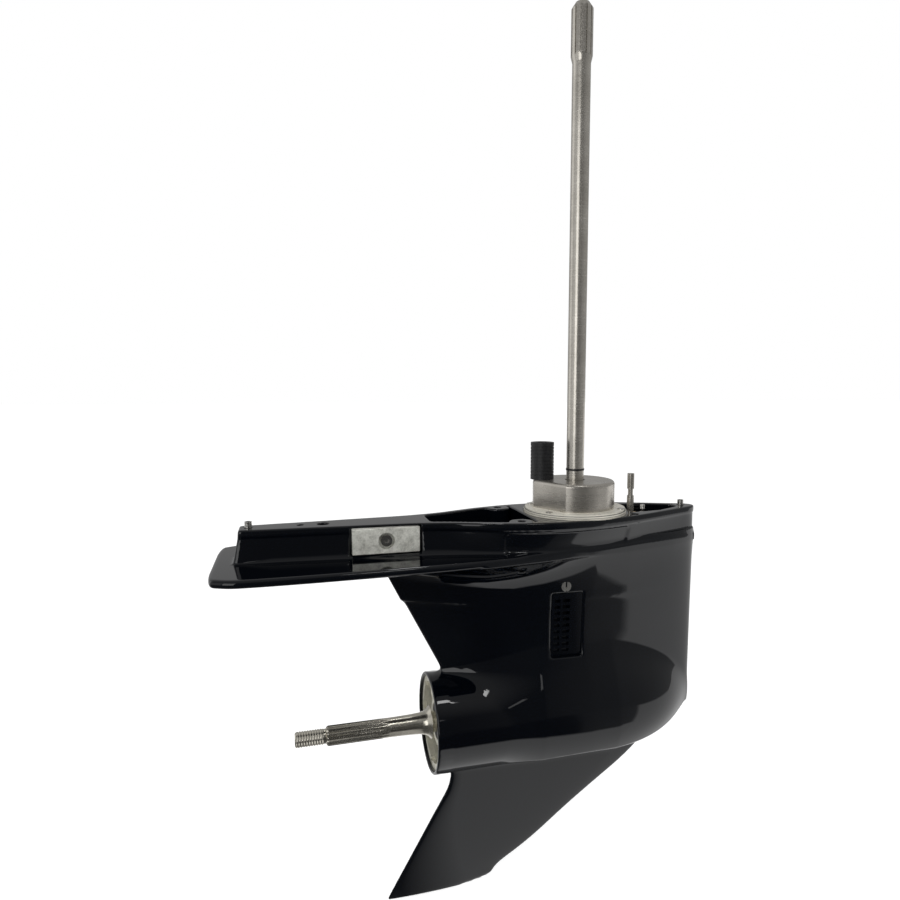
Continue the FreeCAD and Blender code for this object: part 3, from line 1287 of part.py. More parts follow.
def bearing_carrier():
    aft, shoulder, ring_end = carrier_stations()
    front = REVERSE_BEARING_X0 + REVERSE_BEARING_L
    cup_start = REVERSE_BEARING_X0 - CARRIER_CUP_WALL
    shapes = [
        along_x(RIM_BORE_R - SLIP, aft, shoulder),
        along_x(CARRIER_RING_R - SLIP, shoulder - 1, ring_end),
        along_x(CARRIER_HUB_R, aft, cup_start + 1),
        along_x(CARRIER_BORE_R - SLIP, cup_start, front),
    ]
    body = fused(shapes)
    window = tube_x(CARRIER_RING_R - 5.0, CARRIER_HUB_R + 0.5, aft - 1, ring_end + 1)
    half = CARRIER_RIB_T / 2
    rib = block(aft - 2, ring_end + 2, -half, half, PROP_AXIS_Z, PROP_AXIS_Z + TORPEDO_R)
    for copy in spun(rib, EXHAUST_WINDOWS, PROP_CENTRE, FORWARD, 180.0 / EXHAUST_WINDOWS):
        window = window.cut(copy)
    cuts = [
        window,
        along_x(PROP_INNER_R + 1.0, aft - 1, front + 1),
        along_x(REVERSE_BEARING_R, REVERSE_BEARING_X0, front + 1),
        along_x(PROP_SEAL_R, aft - 1, aft + PROP_SEAL_SEAT),
        along_x(PROP_NEEDLE_R, aft + PROP_SEAL_SEAT, aft + PROP_SEAL_SEAT + PROP_NEEDLE_SEAT),
        along_x(REVERSE_HUB_R + 1.0, REVERSE_BEARING_X0 - WASHER_SEAT, front),
    ]
    return body.cut(Part.makeCompound(cuts))


def build_carrier():
    aft, shoulder, ring_end = carrier_stations()
    save("bearing_carrier", bearing_carrier())
    inner = RIM_BORE_R - CARRIER_NUT_WALL
    nut = tube_x(RIM_BORE_R - SLIP, inner, aft - CARRIER_NUT_T, aft)
    half = CARRIER_NUT_NOTCH / 2
    low = PROP_AXIS_Z + inner - 1.0
    notch = block(aft - CARRIER_NUT_T - 1, aft - 2, -half, half, low, low + CARRIER_NUT_WALL / 2 + 1.0)
    notches = spun(notch, CARRIER_NUT_NOTCHES, PROP_CENTRE, FORWARD)
    save("carrier_retaining_nut", nut.cut(Part.makeCompound(notches)))
    seals = []
    for x in (aft + 1.0, aft + 1.5 + PROP_SEAL_L):
        seals.append(tube_x(PROP_SEAL_R - SLIP, PROP_INNER_R + SLIP, x, x + PROP_SEAL_L))
    save("propeller_shaft_seals", Part.makeCompound(seals))
    x0 = aft + PROP_SEAL_SEAT + 0.5
    x1 = aft + PROP_SEAL_SEAT + PROP_NEEDLE_SEAT - 0.5
    track = PROP_NEEDLE_R - PROP_NEEDLE_WALL
    save("propeller_needle_bearing_shell", tube_x(PROP_NEEDLE_R - SLIP, track, x0, x1))
    needle_r = (track - PROP_INNER_R - 2 * SLIP) / 2
    needle = along_x(needle_r, x0 + 1, x1 - 1, PROP_AXIS_Z + PROP_INNER_R + SLIP + needle_r)
    needles = spun(needle, PROP_NEEDLES, PROP_CENTRE, FORWARD)
    save("propeller_needle_rollers", Part.makeCompound(needles))
    washer_x = REVERSE_BEARING_X0 - WASHER_SEAT
    outer = REVERSE_HUB_R + 1.0 - SLIP
    washer = tube_x(outer, PROP_INNER_R + HUB_BORE_GAP, washer_x, REVERSE_BEARING_X0 - SEAT)
    save("reverse_thrust_washer", washer)


os.makedirs("parts", exist_ok=True)
build_casting()
build_trim()
build_gears()
build_bearings()
build_drive_shaft()
build_prop_shaft()
build_shift()
build_pump()
build_carrier()
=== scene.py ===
import json
import math

import bpy
import numpy as np
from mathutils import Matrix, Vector


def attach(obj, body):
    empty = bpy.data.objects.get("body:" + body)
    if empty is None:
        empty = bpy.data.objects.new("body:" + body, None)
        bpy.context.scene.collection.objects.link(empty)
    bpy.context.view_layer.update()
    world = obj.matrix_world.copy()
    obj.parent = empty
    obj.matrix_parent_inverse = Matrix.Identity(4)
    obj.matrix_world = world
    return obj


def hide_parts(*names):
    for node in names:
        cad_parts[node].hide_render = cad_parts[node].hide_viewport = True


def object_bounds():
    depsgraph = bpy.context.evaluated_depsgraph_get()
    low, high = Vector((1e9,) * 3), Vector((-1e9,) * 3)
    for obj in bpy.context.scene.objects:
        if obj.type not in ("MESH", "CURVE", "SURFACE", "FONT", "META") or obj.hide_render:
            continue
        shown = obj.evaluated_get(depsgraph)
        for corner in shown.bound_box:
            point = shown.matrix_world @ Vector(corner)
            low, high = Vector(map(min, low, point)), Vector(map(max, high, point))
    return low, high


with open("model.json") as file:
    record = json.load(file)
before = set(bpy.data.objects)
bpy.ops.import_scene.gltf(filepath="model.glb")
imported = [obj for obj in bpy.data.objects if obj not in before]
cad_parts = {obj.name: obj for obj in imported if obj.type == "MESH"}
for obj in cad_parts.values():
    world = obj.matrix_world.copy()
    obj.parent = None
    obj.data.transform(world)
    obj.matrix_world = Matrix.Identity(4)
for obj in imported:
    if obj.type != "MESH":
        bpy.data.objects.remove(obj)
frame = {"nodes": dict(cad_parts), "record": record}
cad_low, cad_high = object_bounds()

# Lengths in this script are millimetres until a mesh is made. +X is the bow, +Y port, +Z up.
MM = 0.001

# Levels and stations of the casting
PROP_Z = -257.0
PLATE_TOP = -37.0
PLATE_LOW = -46.0
LIP_LOW = -9.0
BOW_X = 172.0
TORPEDO_R = 60.3
TORPEDO_AFT = -192.0
NOSE_START = 40.0
NOSE_LENGTH = 131.5
STRUT_FULL = 2.0
STRUT_AFT_TOP = -251.0
STRUT_AFT_SLOPE = 0.511
STRUT_TOP = -40.0
STRUT_FOOT = PROP_Z - 15.0  # inside the torpedo
SKEG_FOOT = -484.0
DECK_AFT = -405.0
PLATE_AFT = -433.0

# The flare under the plate
FLARE_FADE = 110.0  # how far forward of the strut's aft edge it reaches its full width
FLARE_DEPTH = 48.0
FLARE_LAP = 3.5  # how far it reaches up into the plate

# The waisted wall's side panel
PANEL_X, PANEL_Z = -30.0, -24.5
PANEL_HALF_LENGTH, PANEL_HALF_HEIGHT = 74.0, 5.0
PANEL_ROUND = 7.0
PANEL_DEPTH = 1.6

# Cavities, bores and seats
PUMP_SEAT_R = 65.0
EXHAUST_AFT, EXHAUST_FRONT, EXHAUST_FLOOR, EXHAUST_WALL = -191.0, -70.0, -36.0, 11.0
REAR_BOLT_X, REAR_BOLT_Y, BOLT_BOSS_R = -88.0, 48.0, 15.0
NUT_POCKET_X = -313.0
DECK_HOLES = [  # x, y, radius, depth
    (REAR_BOLT_X, -REAR_BOLT_Y, 4.5, 60.0),
    (REAR_BOLT_X, REAR_BOLT_Y, 4.5, 60.0),
    (62.0, -43.0, 4.5, 10.0),
    (62.0, 43.0, 4.5, 10.0),
    (NUT_POCKET_X, 0.0, 6.5, 60.0),
    (-338.5, 0.0, 3.4, 16.0),
    (153.5, 0.0, 4.25, 9.0),
    (-394.5, 0.0, 4.25, 9.0),
]
NUT_POCKET_R, NUT_POCKET_ROOF = 13.65, -43.0
POCKET_AFT, POCKET_FRONT, POCKET_FLOOR = 67.5, 143.0, -14.0
TORPEDO_BORES = [(56.5, TORPEDO_AFT + 16.0), (53.0, TORPEDO_AFT + 34.0), (50.0, -60.0)]  # radius, inner end
ANODE_SEAT = (-285.0, 22.0, -33.2), (-204.0, 80.0, -1.8)
INTAKE = (-44.0, 30.0, -177.0), (-4.0, 70.0, -95.0)

# The propeller shaft's thread and splines
THREAD_AFT, THREAD_FRONT, THREAD_PITCH, THREAD_DEPTH = -350.6, -319.2, 3.0, 0.8
SPLINE_AFT, SPLINE_FRONT, SPLINE_TEETH, SPLINE_DEPTH = -314.5, -251.0, 15, 0.65

# Plan outlines as (x, half width)
DECK_PLAN = [
    (DECK_AFT, 15.0), (-372.0, 17.5), (-335.0, 19.5), (-280.0, 23.0), (-225.0, 27.0), (-190.0, 31.5),
    (-160.0, 40.0), (-120.0, 55.0), (-75.0, 66.0), (-25.0, 69.0), (30.0, 61.5), (70.0, 49.5),
    (110.0, 34.5), (145.0, 20.5), (166.0, 10.2), (BOW_X, 0.0),
]
FOOT_PLAN = [
    (-409.0, 17.0), (-374.0, 20.0), (-336.0, 22.5), (-280.0, 28.0), (-225.0, 34.0), (-190.0, 38.0),
    (-160.0, 44.0), (-120.0, 54.0), (-90.0, 60.5), (-60.0, 61.0), (-25.0, 56.0), (0.0, 51.0),
    (30.0, 44.8), (70.0, 35.6), (110.0, 25.4), (145.0, 15.6), (166.0, 7.6), (BOW_X, 0.0),
]
PLATE_PLAN = [
    (PLATE_AFT, 58.0), (-431.0, 68.0), (-425.0, 77.0), (-414.0, 82.0), (-395.0, 85.0), (-350.0, 86.0),
    (-290.0, 85.0), (-220.0, 83.0), (-160.0, 79.0), (-92.0, 69.0), (-40.0, 59.5), (0.0, 52.0),
    (60.0, 39.0), (118.0, 24.5), (150.0, 15.0), (166.0, 7.6), (BOW_X, 0.0),
]
STRUT_LEVELS = [(-250.0, 33.0), (-190.0, 33.5), (-140.0, 35.5), (-95.0, 38.0), (-60.0, 41.5), (-40.0, 45.0)]
SKEG_LEVELS = [  # level, aft edge, fore edge, half thickness
    (SKEG_FOOT, -247.0, -152.0, 2.2), (-479.0, -244.0, -122.0, 2.7), (-470.0, -238.8, -106.5, 3.2),
    (-450.0, -227.2, -77.3, 3.8), (-405.0, -201.0, -12.5, 5.0), (-364.0, -177.0, 46.6, 6.1),
    (-345.0, -167.0, 74.0, 6.6), (-303.0, -166.0, 118.0, 7.6), (-250.0, -166.0, 150.0, 8.5),
]


def spline(xs, ys, at):
    """Natural cubic spline through the points, its end pieces carried on as cubics past its ends."""
    xs, ys, at = np.asarray(xs, float), np.asarray(ys, float), np.asarray(at, float)
    h = np.diff(xs)
    n = len(xs)
    a = np.eye(n)
    b = np.zeros(n)
    for i in range(1, n - 1):
        a[i, i - 1 : i + 2] = h[i - 1], 2 * (h[i - 1] + h[i]), h[i]
        b[i] = 6 * ((ys[i + 1] - ys[i]) / h[i] - (ys[i] - ys[i - 1]) / h[i - 1])
    m = np.linalg.solve(a, b)
    i = np.clip(np.searchsorted(xs, at) - 1, 0, n - 2)
    t = at - xs[i]
    slope = (ys[i + 1] - ys[i]) / h[i] - h[i] * (2 * m[i] + m[i + 1]) / 6
    return ys[i] + slope * t + m[i] / 2 * t**2 + (m[i + 1] - m[i]) / (6 * h[i]) * t**3


def half_width(plan, x):
    """Half width of a plan outline with a round bow: its square is what varies smoothly."""
    xs, ws = zip(*plan)
    return np.sqrt(np.clip(spline(xs, np.square(ws), np.minimum(x, xs[-1])), 0.0, None))


def smooth_min(a, b, k):
    """Union of two fields, rounded over a width k."""
    h = np.clip(0.5 + 0.5 * (b - a) / k, 0.0, 1.0)
    return b + (a - b) * h - k * h * (1.0 - h)


def smooth_max(a, b, k):
    """Intersection of two fields, rounded over a width k."""
    return -smooth_min(-a, -b, k)


def round_box(x, y, z, low, high, radius):
    """Distance to a box with rounded edges, given its corners."""
    d = []
    for value, lo, hi in zip((x, y, z), low, high):
        d.append(np.abs(value - (lo + hi) / 2) - (hi - lo) / 2 + radius)
    outside = np.sqrt(sum(np.maximum(v, 0.0) ** 2 for v in d))
    return outside + np.minimum(np.maximum(np.maximum(d[0], d[1]), d[2]), 0.0) - radius


def bands(low, high, step, fine=()):
    """Grid lines from low to high, closer together inside each (start, end, step) band."""
    lines = [low]
    while lines[-1] < high:
        here = [s for a, b, s in fine if a <= lines[-1] < b]
        lines.append(lines[-1] + min(here + [step]))
    return np.array(lines)


class Grid:
    """Sampling lines along x, y and z, and fields on them that are below 0 inside a body."""

    def __init__(self, xs, ys, zs):
        self.xs, self.ys, self.zs = xs, ys, zs
        self.x = xs[:, None, None].astype(np.float32)
        self.y = ys[None, :, None].astype(np.float32)
        self.z = zs[None, None, :].astype(np.float32)

    def along(self, xs, values):
        """A value that changes from station to station."""
        return np.interp(self.xs, xs, values)[:, None, None].astype(np.float32)

    def blade(self, half):
        """Field of a body whose half width at (x, z) is given, with the slope of its sides allowed for."""
        hx, hz = np.gradient(half, self.xs, self.zs)
        slope = np.sqrt(1.0 + np.minimum(hx**2 + hz**2, 16.0))
        half, slope = (v[:, None, :].astype(np.float32) for v in (half, slope))
        return (np.abs(self.y) - half) / slope


def plan_body(grid, plan, aft_x, low, high, radius):
    """An upright prism of a plan outline, with rounded top, bottom and aft edges."""
    half = np.repeat(half_width(plan, grid.xs)[:, None], len(grid.zs), 1)
    side = np.maximum(grid.blade(half), grid.x - BOW_X)
    side = smooth_max(side, aft_x - grid.x, 2 * radius)
    return smooth_max(side, np.maximum(grid.z - high, low - grid.z), 2 * radius)


def strut_body(grid):
    """The strut: full at one station, round towards the bow and thin at its raked aft edge."""
    x = grid.xs[:, None]
    z = grid.zs[None, :]
    aft = STRUT_AFT_TOP + STRUT_AFT_SLOPE * (STRUT_TOP - z)
    full = spline(*zip(*STRUT_LEVELS), np.clip(grid.zs, STRUT_LEVELS[0][0], STRUT_TOP))[None, :]
    bow = np.clip((x - STRUT_FULL) / (BOW_X - STRUT_FULL), 0.0, 1.0)
    run = np.clip((STRUT_FULL - x) / (STRUT_FULL - aft), 0.0, 1.0)
    power = 1.15 + 0.2 * np.clip((z + 160.0) / 100.0, 0.0, 1.0)
    half = np.where(x > STRUT_FULL, full * np.sqrt(1.0 - bow**power), 2.6 + (full - 2.6) * (1.0 - run**1.9))
    field = np.maximum(grid.blade(half), grid.x - BOW_X)
    aft_field = (aft[:, None, :] - grid.x) / math.hypot(1.0, STRUT_AFT_SLOPE)
    field = smooth_max(field, aft_field.astype(np.float32), 3.0)
    return np.maximum(field, STRUT_FOOT - grid.z)


def flare_body(grid):
    """The flare between the plate's edge and the strut."""
    x, z = grid.xs[:, None], grid.zs[None, :]
    plate = half_width(PLATE_PLAN, grid.xs)[:, None]
    height = np.interp(x, [-240.0, -60.0, 60.0, BOW_X], [22.0, 46.0, 46.0, 32.0])
    rise = np.clip((z - PLATE_LOW + height) / height, 0.0, 1.0)
    aft = STRUT_AFT_TOP + STRUT_AFT_SLOPE * (STRUT_TOP - z)
    fade = np.clip((x - aft) / FLARE_FADE, 0.0, 1.0)
    inner = np.interp(x, [-250.0, -120.0, 10.0, 110.0, BOW_X], [0.5, 18.0, 30.0, 15.0, 0.3])
    half = inner + (plate - inner) * rise**1.2 * fade**0.6
    field = np.maximum(grid.blade(half), grid.x - BOW_X)
    field = np.maximum(field, (aft[:, None, :] - grid.x).astype(np.float32))
    return np.maximum(field, np.maximum(grid.z - PLATE_LOW - FLARE_LAP, PLATE_LOW - FLARE_DEPTH - grid.z))


def torpedo_body(grid):
    """The bullet-shaped gear case: its nose is round in side view and comes to an edge in plan."""
    t = np.clip((grid.xs - NOSE_START) / NOSE_LENGTH, 0.0, 1.0)
    tall = np.maximum(TORPEDO_R * (1.0 - t**2.4) ** 0.6, 1.0)
    wide = np.maximum(TORPEDO_R * (1.0 - t**2.4), 1.0)
    slope = np.sqrt(1.0 + np.minimum(np.gradient(tall, grid.xs) ** 2, 4.0))[:, None, None]
    tall, wide = tall[:, None, None], wide[:, None, None]
    y, z = grid.y, grid.z - PROP_Z
    near = np.sqrt((y / wide) ** 2 + (z / tall) ** 2)
    steep = np.sqrt((y / wide**2) ** 2 + (z / tall**2) ** 2) + 1e-6
    field = near * (near - 1.0) / steep / slope
    field = np.maximum(field, grid.x - NOSE_START - NOSE_LENGTH)
    return smooth_max(field.astype(np.float32), TORPEDO_AFT - grid.x, 2.4)


def skeg_body(grid):
    """The raked fin under the torpedo, with a lens-shaped section at each level."""
    x = grid.xs[:, None]
    levels = list(zip(*SKEG_LEVELS))
    zs = np.clip(grid.zs, levels[0][0], levels[0][-1])
    aft, bow, full = (spline(levels[0], levels[i], zs)[None, :] for i in (1, 2, 3))
    t = np.clip((x - aft) / (bow - aft), 0.0, 1.0)
    half = full * np.sqrt(np.clip(1.0 - np.abs(2 * t - 1.0) ** 2.2, 0.0, 1.0))
    field = grid.blade(half)
    edge = np.maximum(aft - x, x - bow) * 0.8
    field = smooth_max(field, edge[:, None, :].astype(np.float32), 2.0)
    field = smooth_max(field, SKEG_FOOT - grid.z, 2.0)
    return np.maximum(field, grid.z - levels[0][-1])


def wall_body(grid):
    """The waisted wall between the deck's flange and the plate, with a shallow panel in each side."""
    top = half_width(DECK_PLAN, grid.xs) - np.interp(grid.xs, [-220.0, -170.0], [0.5, 1.6])
    foot = half_width(FOOT_PLAN, grid.xs)
    t = np.clip((grid.zs - PLATE_TOP) / (LIP_LOW - PLATE_TOP), 0.0, 1.0)
    half = foot[:, None] + (top - foot)[:, None] * t[None, :]
    x, z = grid.xs[:, None], grid.zs[None, :]
    dx = np.maximum(np.abs(x - PANEL_X) - PANEL_HALF_LENGTH, 0.0)
    dz = np.maximum(np.abs(z - PANEL_Z) - PANEL_HALF_HEIGHT, 0.0)
    panel = np.clip((PANEL_ROUND - np.hypot(dx, dz)) / 2.5 + 0.5, 0.0, 1.0)
    half = half - PANEL_DEPTH * panel * panel * (3 - 2 * panel)
    field = np.maximum(grid.blade(half), grid.x - BOW_X)
    field = smooth_max(field, -405.5 + 0.2 * (grid.z + 9.0) - grid.x, 3.0)
    return np.maximum(field, np.maximum(grid.z + 3.0, PLATE_LOW + 2.0 - grid.z))


def cylinder_z(grid, radius, x, y=0.0):
    """An upright bore."""
    return np.hypot(grid.x - x, grid.y - y) - radius


def cylinder_x(grid, radius):
    """A bore along the propeller shaft."""
    return np.hypot(grid.y, grid.z - PROP_Z) - radius


def housing_field(grid):
    """The casting's outer form: deck flange, wall, plate, strut, torpedo, skeg and flare."""
    lip = plan_body(grid, DECK_PLAN, DECK_AFT, LIP_LOW, 0.0, 1.2)
    body = smooth_min(lip, wall_body(grid), 1.5)
    plate = plan_body(grid, PLATE_PLAN, PLATE_AFT, PLATE_LOW, PLATE_TOP, 2.5)
    body = smooth_min(body, plate, grid.along([-400.0, -370.0], [2.5, 9.0]))
    stations = [-190.0, -150.0, -60.0, 40.0, 90.0, 130.0, 168.0]
    blend = grid.along(stations, [10.0, 22.0, 58.0, 56.0, 36.0, 22.0, 5.0])
    lower = smooth_min(strut_body(grid), torpedo_body(grid), blend)
    blend = grid.along([-160.0, 60.0, 120.0], [12.0, 14.0, 8.0])
    lower = smooth_min(lower, skeg_body(grid), blend)
    lower = np.maximum(lower, grid.z + 30.0)
    blend = grid.along([-260.0, -180.0, 60.0, 130.0, 168.0], [10.0, 16.0, 18.0, 12.0, 4.0])
    flared = smooth_min(lower, flare_body(grid), blend)
    return smooth_min(smooth_min(body, lower, 1.5), flared, 1.5)


def surface(grid, f):
    """Net of quads on the field's zero level: a point in each cell that the surface crosses."""
    inside = f < 0
    nx, ny, nz = f.shape
    corners = [
        (slice(i, nx - 1 + i), slice(j, ny - 1 + j), slice(k, nz - 1 + k))
        for i in (0, 1)
        for j in (0, 1)
        for k in (0, 1)
    ]
    count = sum(inside[c].astype(np.int8) for c in corners)
    cells = np.argwhere((count > 0) & (count < 8))
    index = -np.ones((nx - 1, ny - 1, nz - 1), np.int32)
    index[tuple(cells.T)] = np.arange(len(cells))
    lines = (grid.xs, grid.ys, grid.zs)
    total = np.zeros((len(cells), 3))
    hits = np.zeros(len(cells))
    for axis in range(3):
        others = [a for a in range(3) if a != axis]
        for u in (0, 1):
            for v in (0, 1):
                start = cells.copy()
                start[:, others[0]] += u
                start[:, others[1]] += v
                end = start.copy()
                end[:, axis] += 1
                a, b = f[tuple(start.T)], f[tuple(end.T)]
                cross = (a < 0) != (b < 0)
                t = np.where(cross, a / np.where(cross, a - b, 1.0), 0.0)
                point = np.stack([lines[d][start[:, d]] for d in range(3)], 1)
                point[:, axis] += t * (lines[axis][end[:, axis]] - lines[axis][start[:, axis]])
                total += point * cross[:, None]
                hits += cross
    points = total / hits[:, None]
    quads = []
    for axis in range(3):
        u, v = [a for a in range(3) if a != axis]
        sl0 = [slice(1, -1)] * 3
        sl1 = [slice(1, -1)] * 3
        sl0[axis] = slice(0, -1)
        sl1[axis] = slice(1, None)
        cross = inside[tuple(sl0)] != inside[tuple(sl1)]
        base = np.argwhere(cross) + 1
        base[:, axis] -= 1
        out = inside[tuple(base.T)]
        sides = []
        for du, dv in ((0, 0), (-1, 0), (-1, -1), (0, -1)):
            cell = base.copy()
            cell[:, u] += du
            cell[:, v] += dv
            sides.append(index[tuple(cell.T)])
        faces = np.stack(sides, 1)
        flip = out if axis == 1 else ~out
        faces[flip] = faces[flip][:, ::-1]
        quads.append(faces)
    return points, np.concatenate(quads)


def sample(grid, f, points):
    """Trilinear value of a field at points."""
    lines = (grid.xs, grid.ys, grid.zs)
    where = []
    share = []
    for d in range(3):
        i = np.clip(np.searchsorted(lines[d], points[:, d], side="right") - 1, 0, len(lines[d]) - 2)
        where.append(i)
        share.append((points[:, d] - lines[d][i]) / (lines[d][i + 1] - lines[d][i]))
    total = 0.0
    for i in (0, 1):
        for j in (0, 1):
            for k in (0, 1):
                weight = (
                    (share[0] if i else 1 - share[0])
                    * (share[1] if j else 1 - share[1])
                    * (share[2] if k else 1 - share[2])
                )
                total = total + weight * f[where[0] + i, where[1] + j, where[2] + k]
    return total


def mesh_object(name, points, faces):
    """A smooth mesh from millimetre points and equal-sided faces."""
    mesh = bpy.data.meshes.new(name)
    points = np.asarray(points, np.float64) * MM
    mesh.vertices.add(len(points))
    mesh.vertices.foreach_set("co", points.astype(np.float32).ravel())
    sides = faces.shape[1]
    mesh.loops.add(faces.size)
    mesh.loops.foreach_set("vertex_index", faces.astype(np.int32).ravel())
    mesh.polygons.add(len(faces))
    mesh.polygons.foreach_set("loop_start", np.arange(0, faces.size, sides, dtype=np.int32))
    mesh.polygons.foreach_set("use_smooth", np.full(len(faces), True))
    mesh.update(calc_edges=True)
    mesh.validate()
    obj = bpy.data.objects.new(name, mesh)
    bpy.context.scene.collection.objects.link(obj)
    return obj


def exhaust_field(grid):
    """The open exhaust chamber behind the pump, with its two bolt bosses left standing."""
    half = half_width(DECK_PLAN, grid.xs) - EXHAUST_WALL
    side = np.repeat(half[:, None], len(grid.zs), 1)
    field = smooth_max(grid.blade(side), EXHAUST_AFT - grid.x, 5.0)
    field = smooth_max(field, grid.x - EXHAUST_FRONT, 5.0)
    for y in (-REAR_BOLT_Y, REAR_BOLT_Y):
        field = smooth_max(field, -cylinder_z(grid, BOLT_BOSS_R, REAR_BOLT_X, y), 4.0)
    field = smooth_max(field, EXHAUST_FLOOR - grid.z, 5.0)
    deep = np.clip((grid.zs + 33.0) / (-213.0 + 33.0), 0.0, 1.0)[None, :]
    x = grid.xs[:, None]
    top = np.interp(x, [-182.0, -120.0, -52.0], [12.0, 25.0, 30.0])
    foot = np.interp(x, [-148.0, -105.0, -52.0], [7.0, 15.0, 20.0])
    trunk = grid.blade(top * (1.0 - deep) + foot * deep)
    aft = (-182.0 + 34.0 * deep - x)[:, None, :].astype(np.float32)
    trunk = smooth_max(trunk, np.maximum(aft, grid.x - EXHAUST_FRONT), 4.0)
    trunk = np.maximum(trunk, np.maximum(-150.0 - grid.z, grid.z + 30.0))
    return smooth_min(field, trunk, 4.0)


def front_cavity_field(grid):
    """The shallow pocket forward of the pump, which narrows towards the bow."""
    half = np.interp(grid.xs, [POCKET_AFT, 106.0, POCKET_FRONT, 150.0], [29.0, 25.0, 7.0, 3.0])
    side = np.repeat(half[:, None], len(grid.zs), 1)
    field = smooth_max(grid.blade(side), POCKET_AFT - grid.x, 3.0)
    field = smooth_max(field, grid.x - POCKET_FRONT, 3.0)
    return smooth_max(field, POCKET_FLOOR - grid.z, 3.0)


def carve(grid, f):
    """Cavities, bores and seats that show from outside."""
    cuts = [exhaust_field(grid), front_cavity_field(grid)]
    cuts.append(np.maximum(cylinder_z(grid, PUMP_SEAT_R, 0.0), -1.0 - grid.z))
    for x, y, radius, depth in DECK_HOLES:
        cuts.append(np.maximum(cylinder_z(grid, radius, x, y), -depth - grid.z))
    cuts.append(np.maximum(cylinder_z(grid, NUT_POCKET_R, NUT_POCKET_X), grid.z - NUT_POCKET_ROOF))
    for radius, end in TORPEDO_BORES:
        cuts.append(np.maximum(cylinder_x(grid, radius), grid.x - end))
    y = np.abs(grid.y)
    cuts.append(round_box(grid.x, y, grid.z, *ANODE_SEAT, 1.0))
    cuts.append(round_box(grid.x, y, grid.z, *INTAKE, 1.0))
    for cut in cuts:
        f = smooth_max(f, -cut, 1.2)
    return f


def make_housing():
    """The casting's own mesh: its field is sampled, netted and drawn onto the zero level."""
    fine_x = [
        (-402, -387, 1.0), (-345, -299, 1.2), (-196, -174, 1.2),
        (-97, -79, 1.2), (55, 70, 1.2), (146, 173, 1.0),
    ]
    xs = bands(-437.0, 177.0, 2.1, fine_x)
    ys = bands(-90.0, 90.0, 2.0, [(-10, 10, 1.0), (-54, -38, 1.2), (38, 54, 1.2)])
    zs = bands(-488.0, 3.0, 2.2, [(-50, 3, 1.05)])
    grid = Grid(xs, ys, zs)
    f = carve(grid, housing_field(grid)).astype(np.float32)
    points, quads = surface(grid, f)
    gx, gy, gz = (g.astype(np.float32) for g in np.gradient(f, xs, ys, zs))
    for _ in range(3):
        value = sample(grid, f, points)
        slope = np.stack([sample(grid, g, points) for g in (gx, gy, gz)], 1)
        size = np.maximum((slope**2).sum(1), 0.05)
        step = np.clip(value / size, -0.8, 0.8)
        points = points - slope * step[:, None]
    obj = mesh_object("gear_housing_shell", points, quads)
    slope = np.stack([sample(grid, g, points) for g in (gx, gy, gz)], 1)
    normals = slope / np.linalg.norm(slope, axis=1)[:, None]
    obj.data.normals_split_custom_set_from_vertices(normals.tolist())
    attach(obj, "casing")
    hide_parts("gear_housing")
    return obj


def make_propeller_shaft():
    """The propeller shaft with its thread, splines and the flare that seats the propeller's hub."""
    turns = 120
    angle = np.arange(turns) * 2 * math.pi / turns
    profile = [(-352.0, 0.5), (-352.0, 7.4), (-350.8, 8.9)]
    profile += [(x, 9.3) for x in np.arange(-350.5, -319.0, 0.375)]
    profile += [(-318.5, 8.5), (-316.5, 8.5), (-315.5, 10.2), (-314.0, 11.4)]
    profile += [(-313.0, 11.6), (-252.0, 11.6), (-248.0, 11.5), (-240.0, 11.4), (-225.0, 11.7)]
    profile += [(-213.0, 12.1), (-203.0, 12.8), (-197.0, 14.0), (-193.5, 16.0), (-191.0, 19.2)]
    profile += [(-190.0, 19.8), (-190.0, 12.6)]
    profile += [(61.0, 12.6), (62.0, 11.6), (62.0, 0.5)]
    xs, rs = (np.array(v)[:, None] for v in zip(*profile))
    turn = np.mod(xs / THREAD_PITCH - angle[None, :] / (2 * math.pi), 1.0)
    threaded = (xs > THREAD_AFT) & (xs < THREAD_FRONT)
    radius = rs - np.where(threaded, THREAD_DEPTH * np.abs(2 * turn - 1.0), 0.0)
    tooth = np.clip(np.cos(SPLINE_TEETH * angle)[None, :] * 3.0, -1.0, 1.0)
    splined = (xs > SPLINE_AFT) & (xs < SPLINE_FRONT)
    radius = radius - np.where(splined, SPLINE_DEPTH * (1.0 - tooth), 0.0)
    along = np.broadcast_to(xs, radius.shape)
    points = np.stack([along, radius * np.cos(angle), PROP_Z + radius * np.sin(angle)], 2).reshape(-1, 3)
    rows, columns = np.meshgrid(np.arange(len(profile) - 1), np.arange(turns), indexing="ij")
    here, after = rows * turns + columns, rows * turns + (columns + 1) % turns
    quads = np.stack([here, here + turns, after + turns, after], 2).reshape(-1, 4)
    obj = mesh_object("propeller_shaft_turned", points, quads)
    obj.data.set_sharp_from_angle(angle=math.radians(32.0))
    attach(obj, "propeller_shaft_body")
    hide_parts("propeller_shaft")
    return obj


# Materials

STEEL_SHADE = (0.42, 0.395, 0.35)
CUP_STEEL = (0.56, 0.53, 0.48)
CUP_RING = 0.0055, 0.0062  # metres above the deck: the pale ring fades out between them


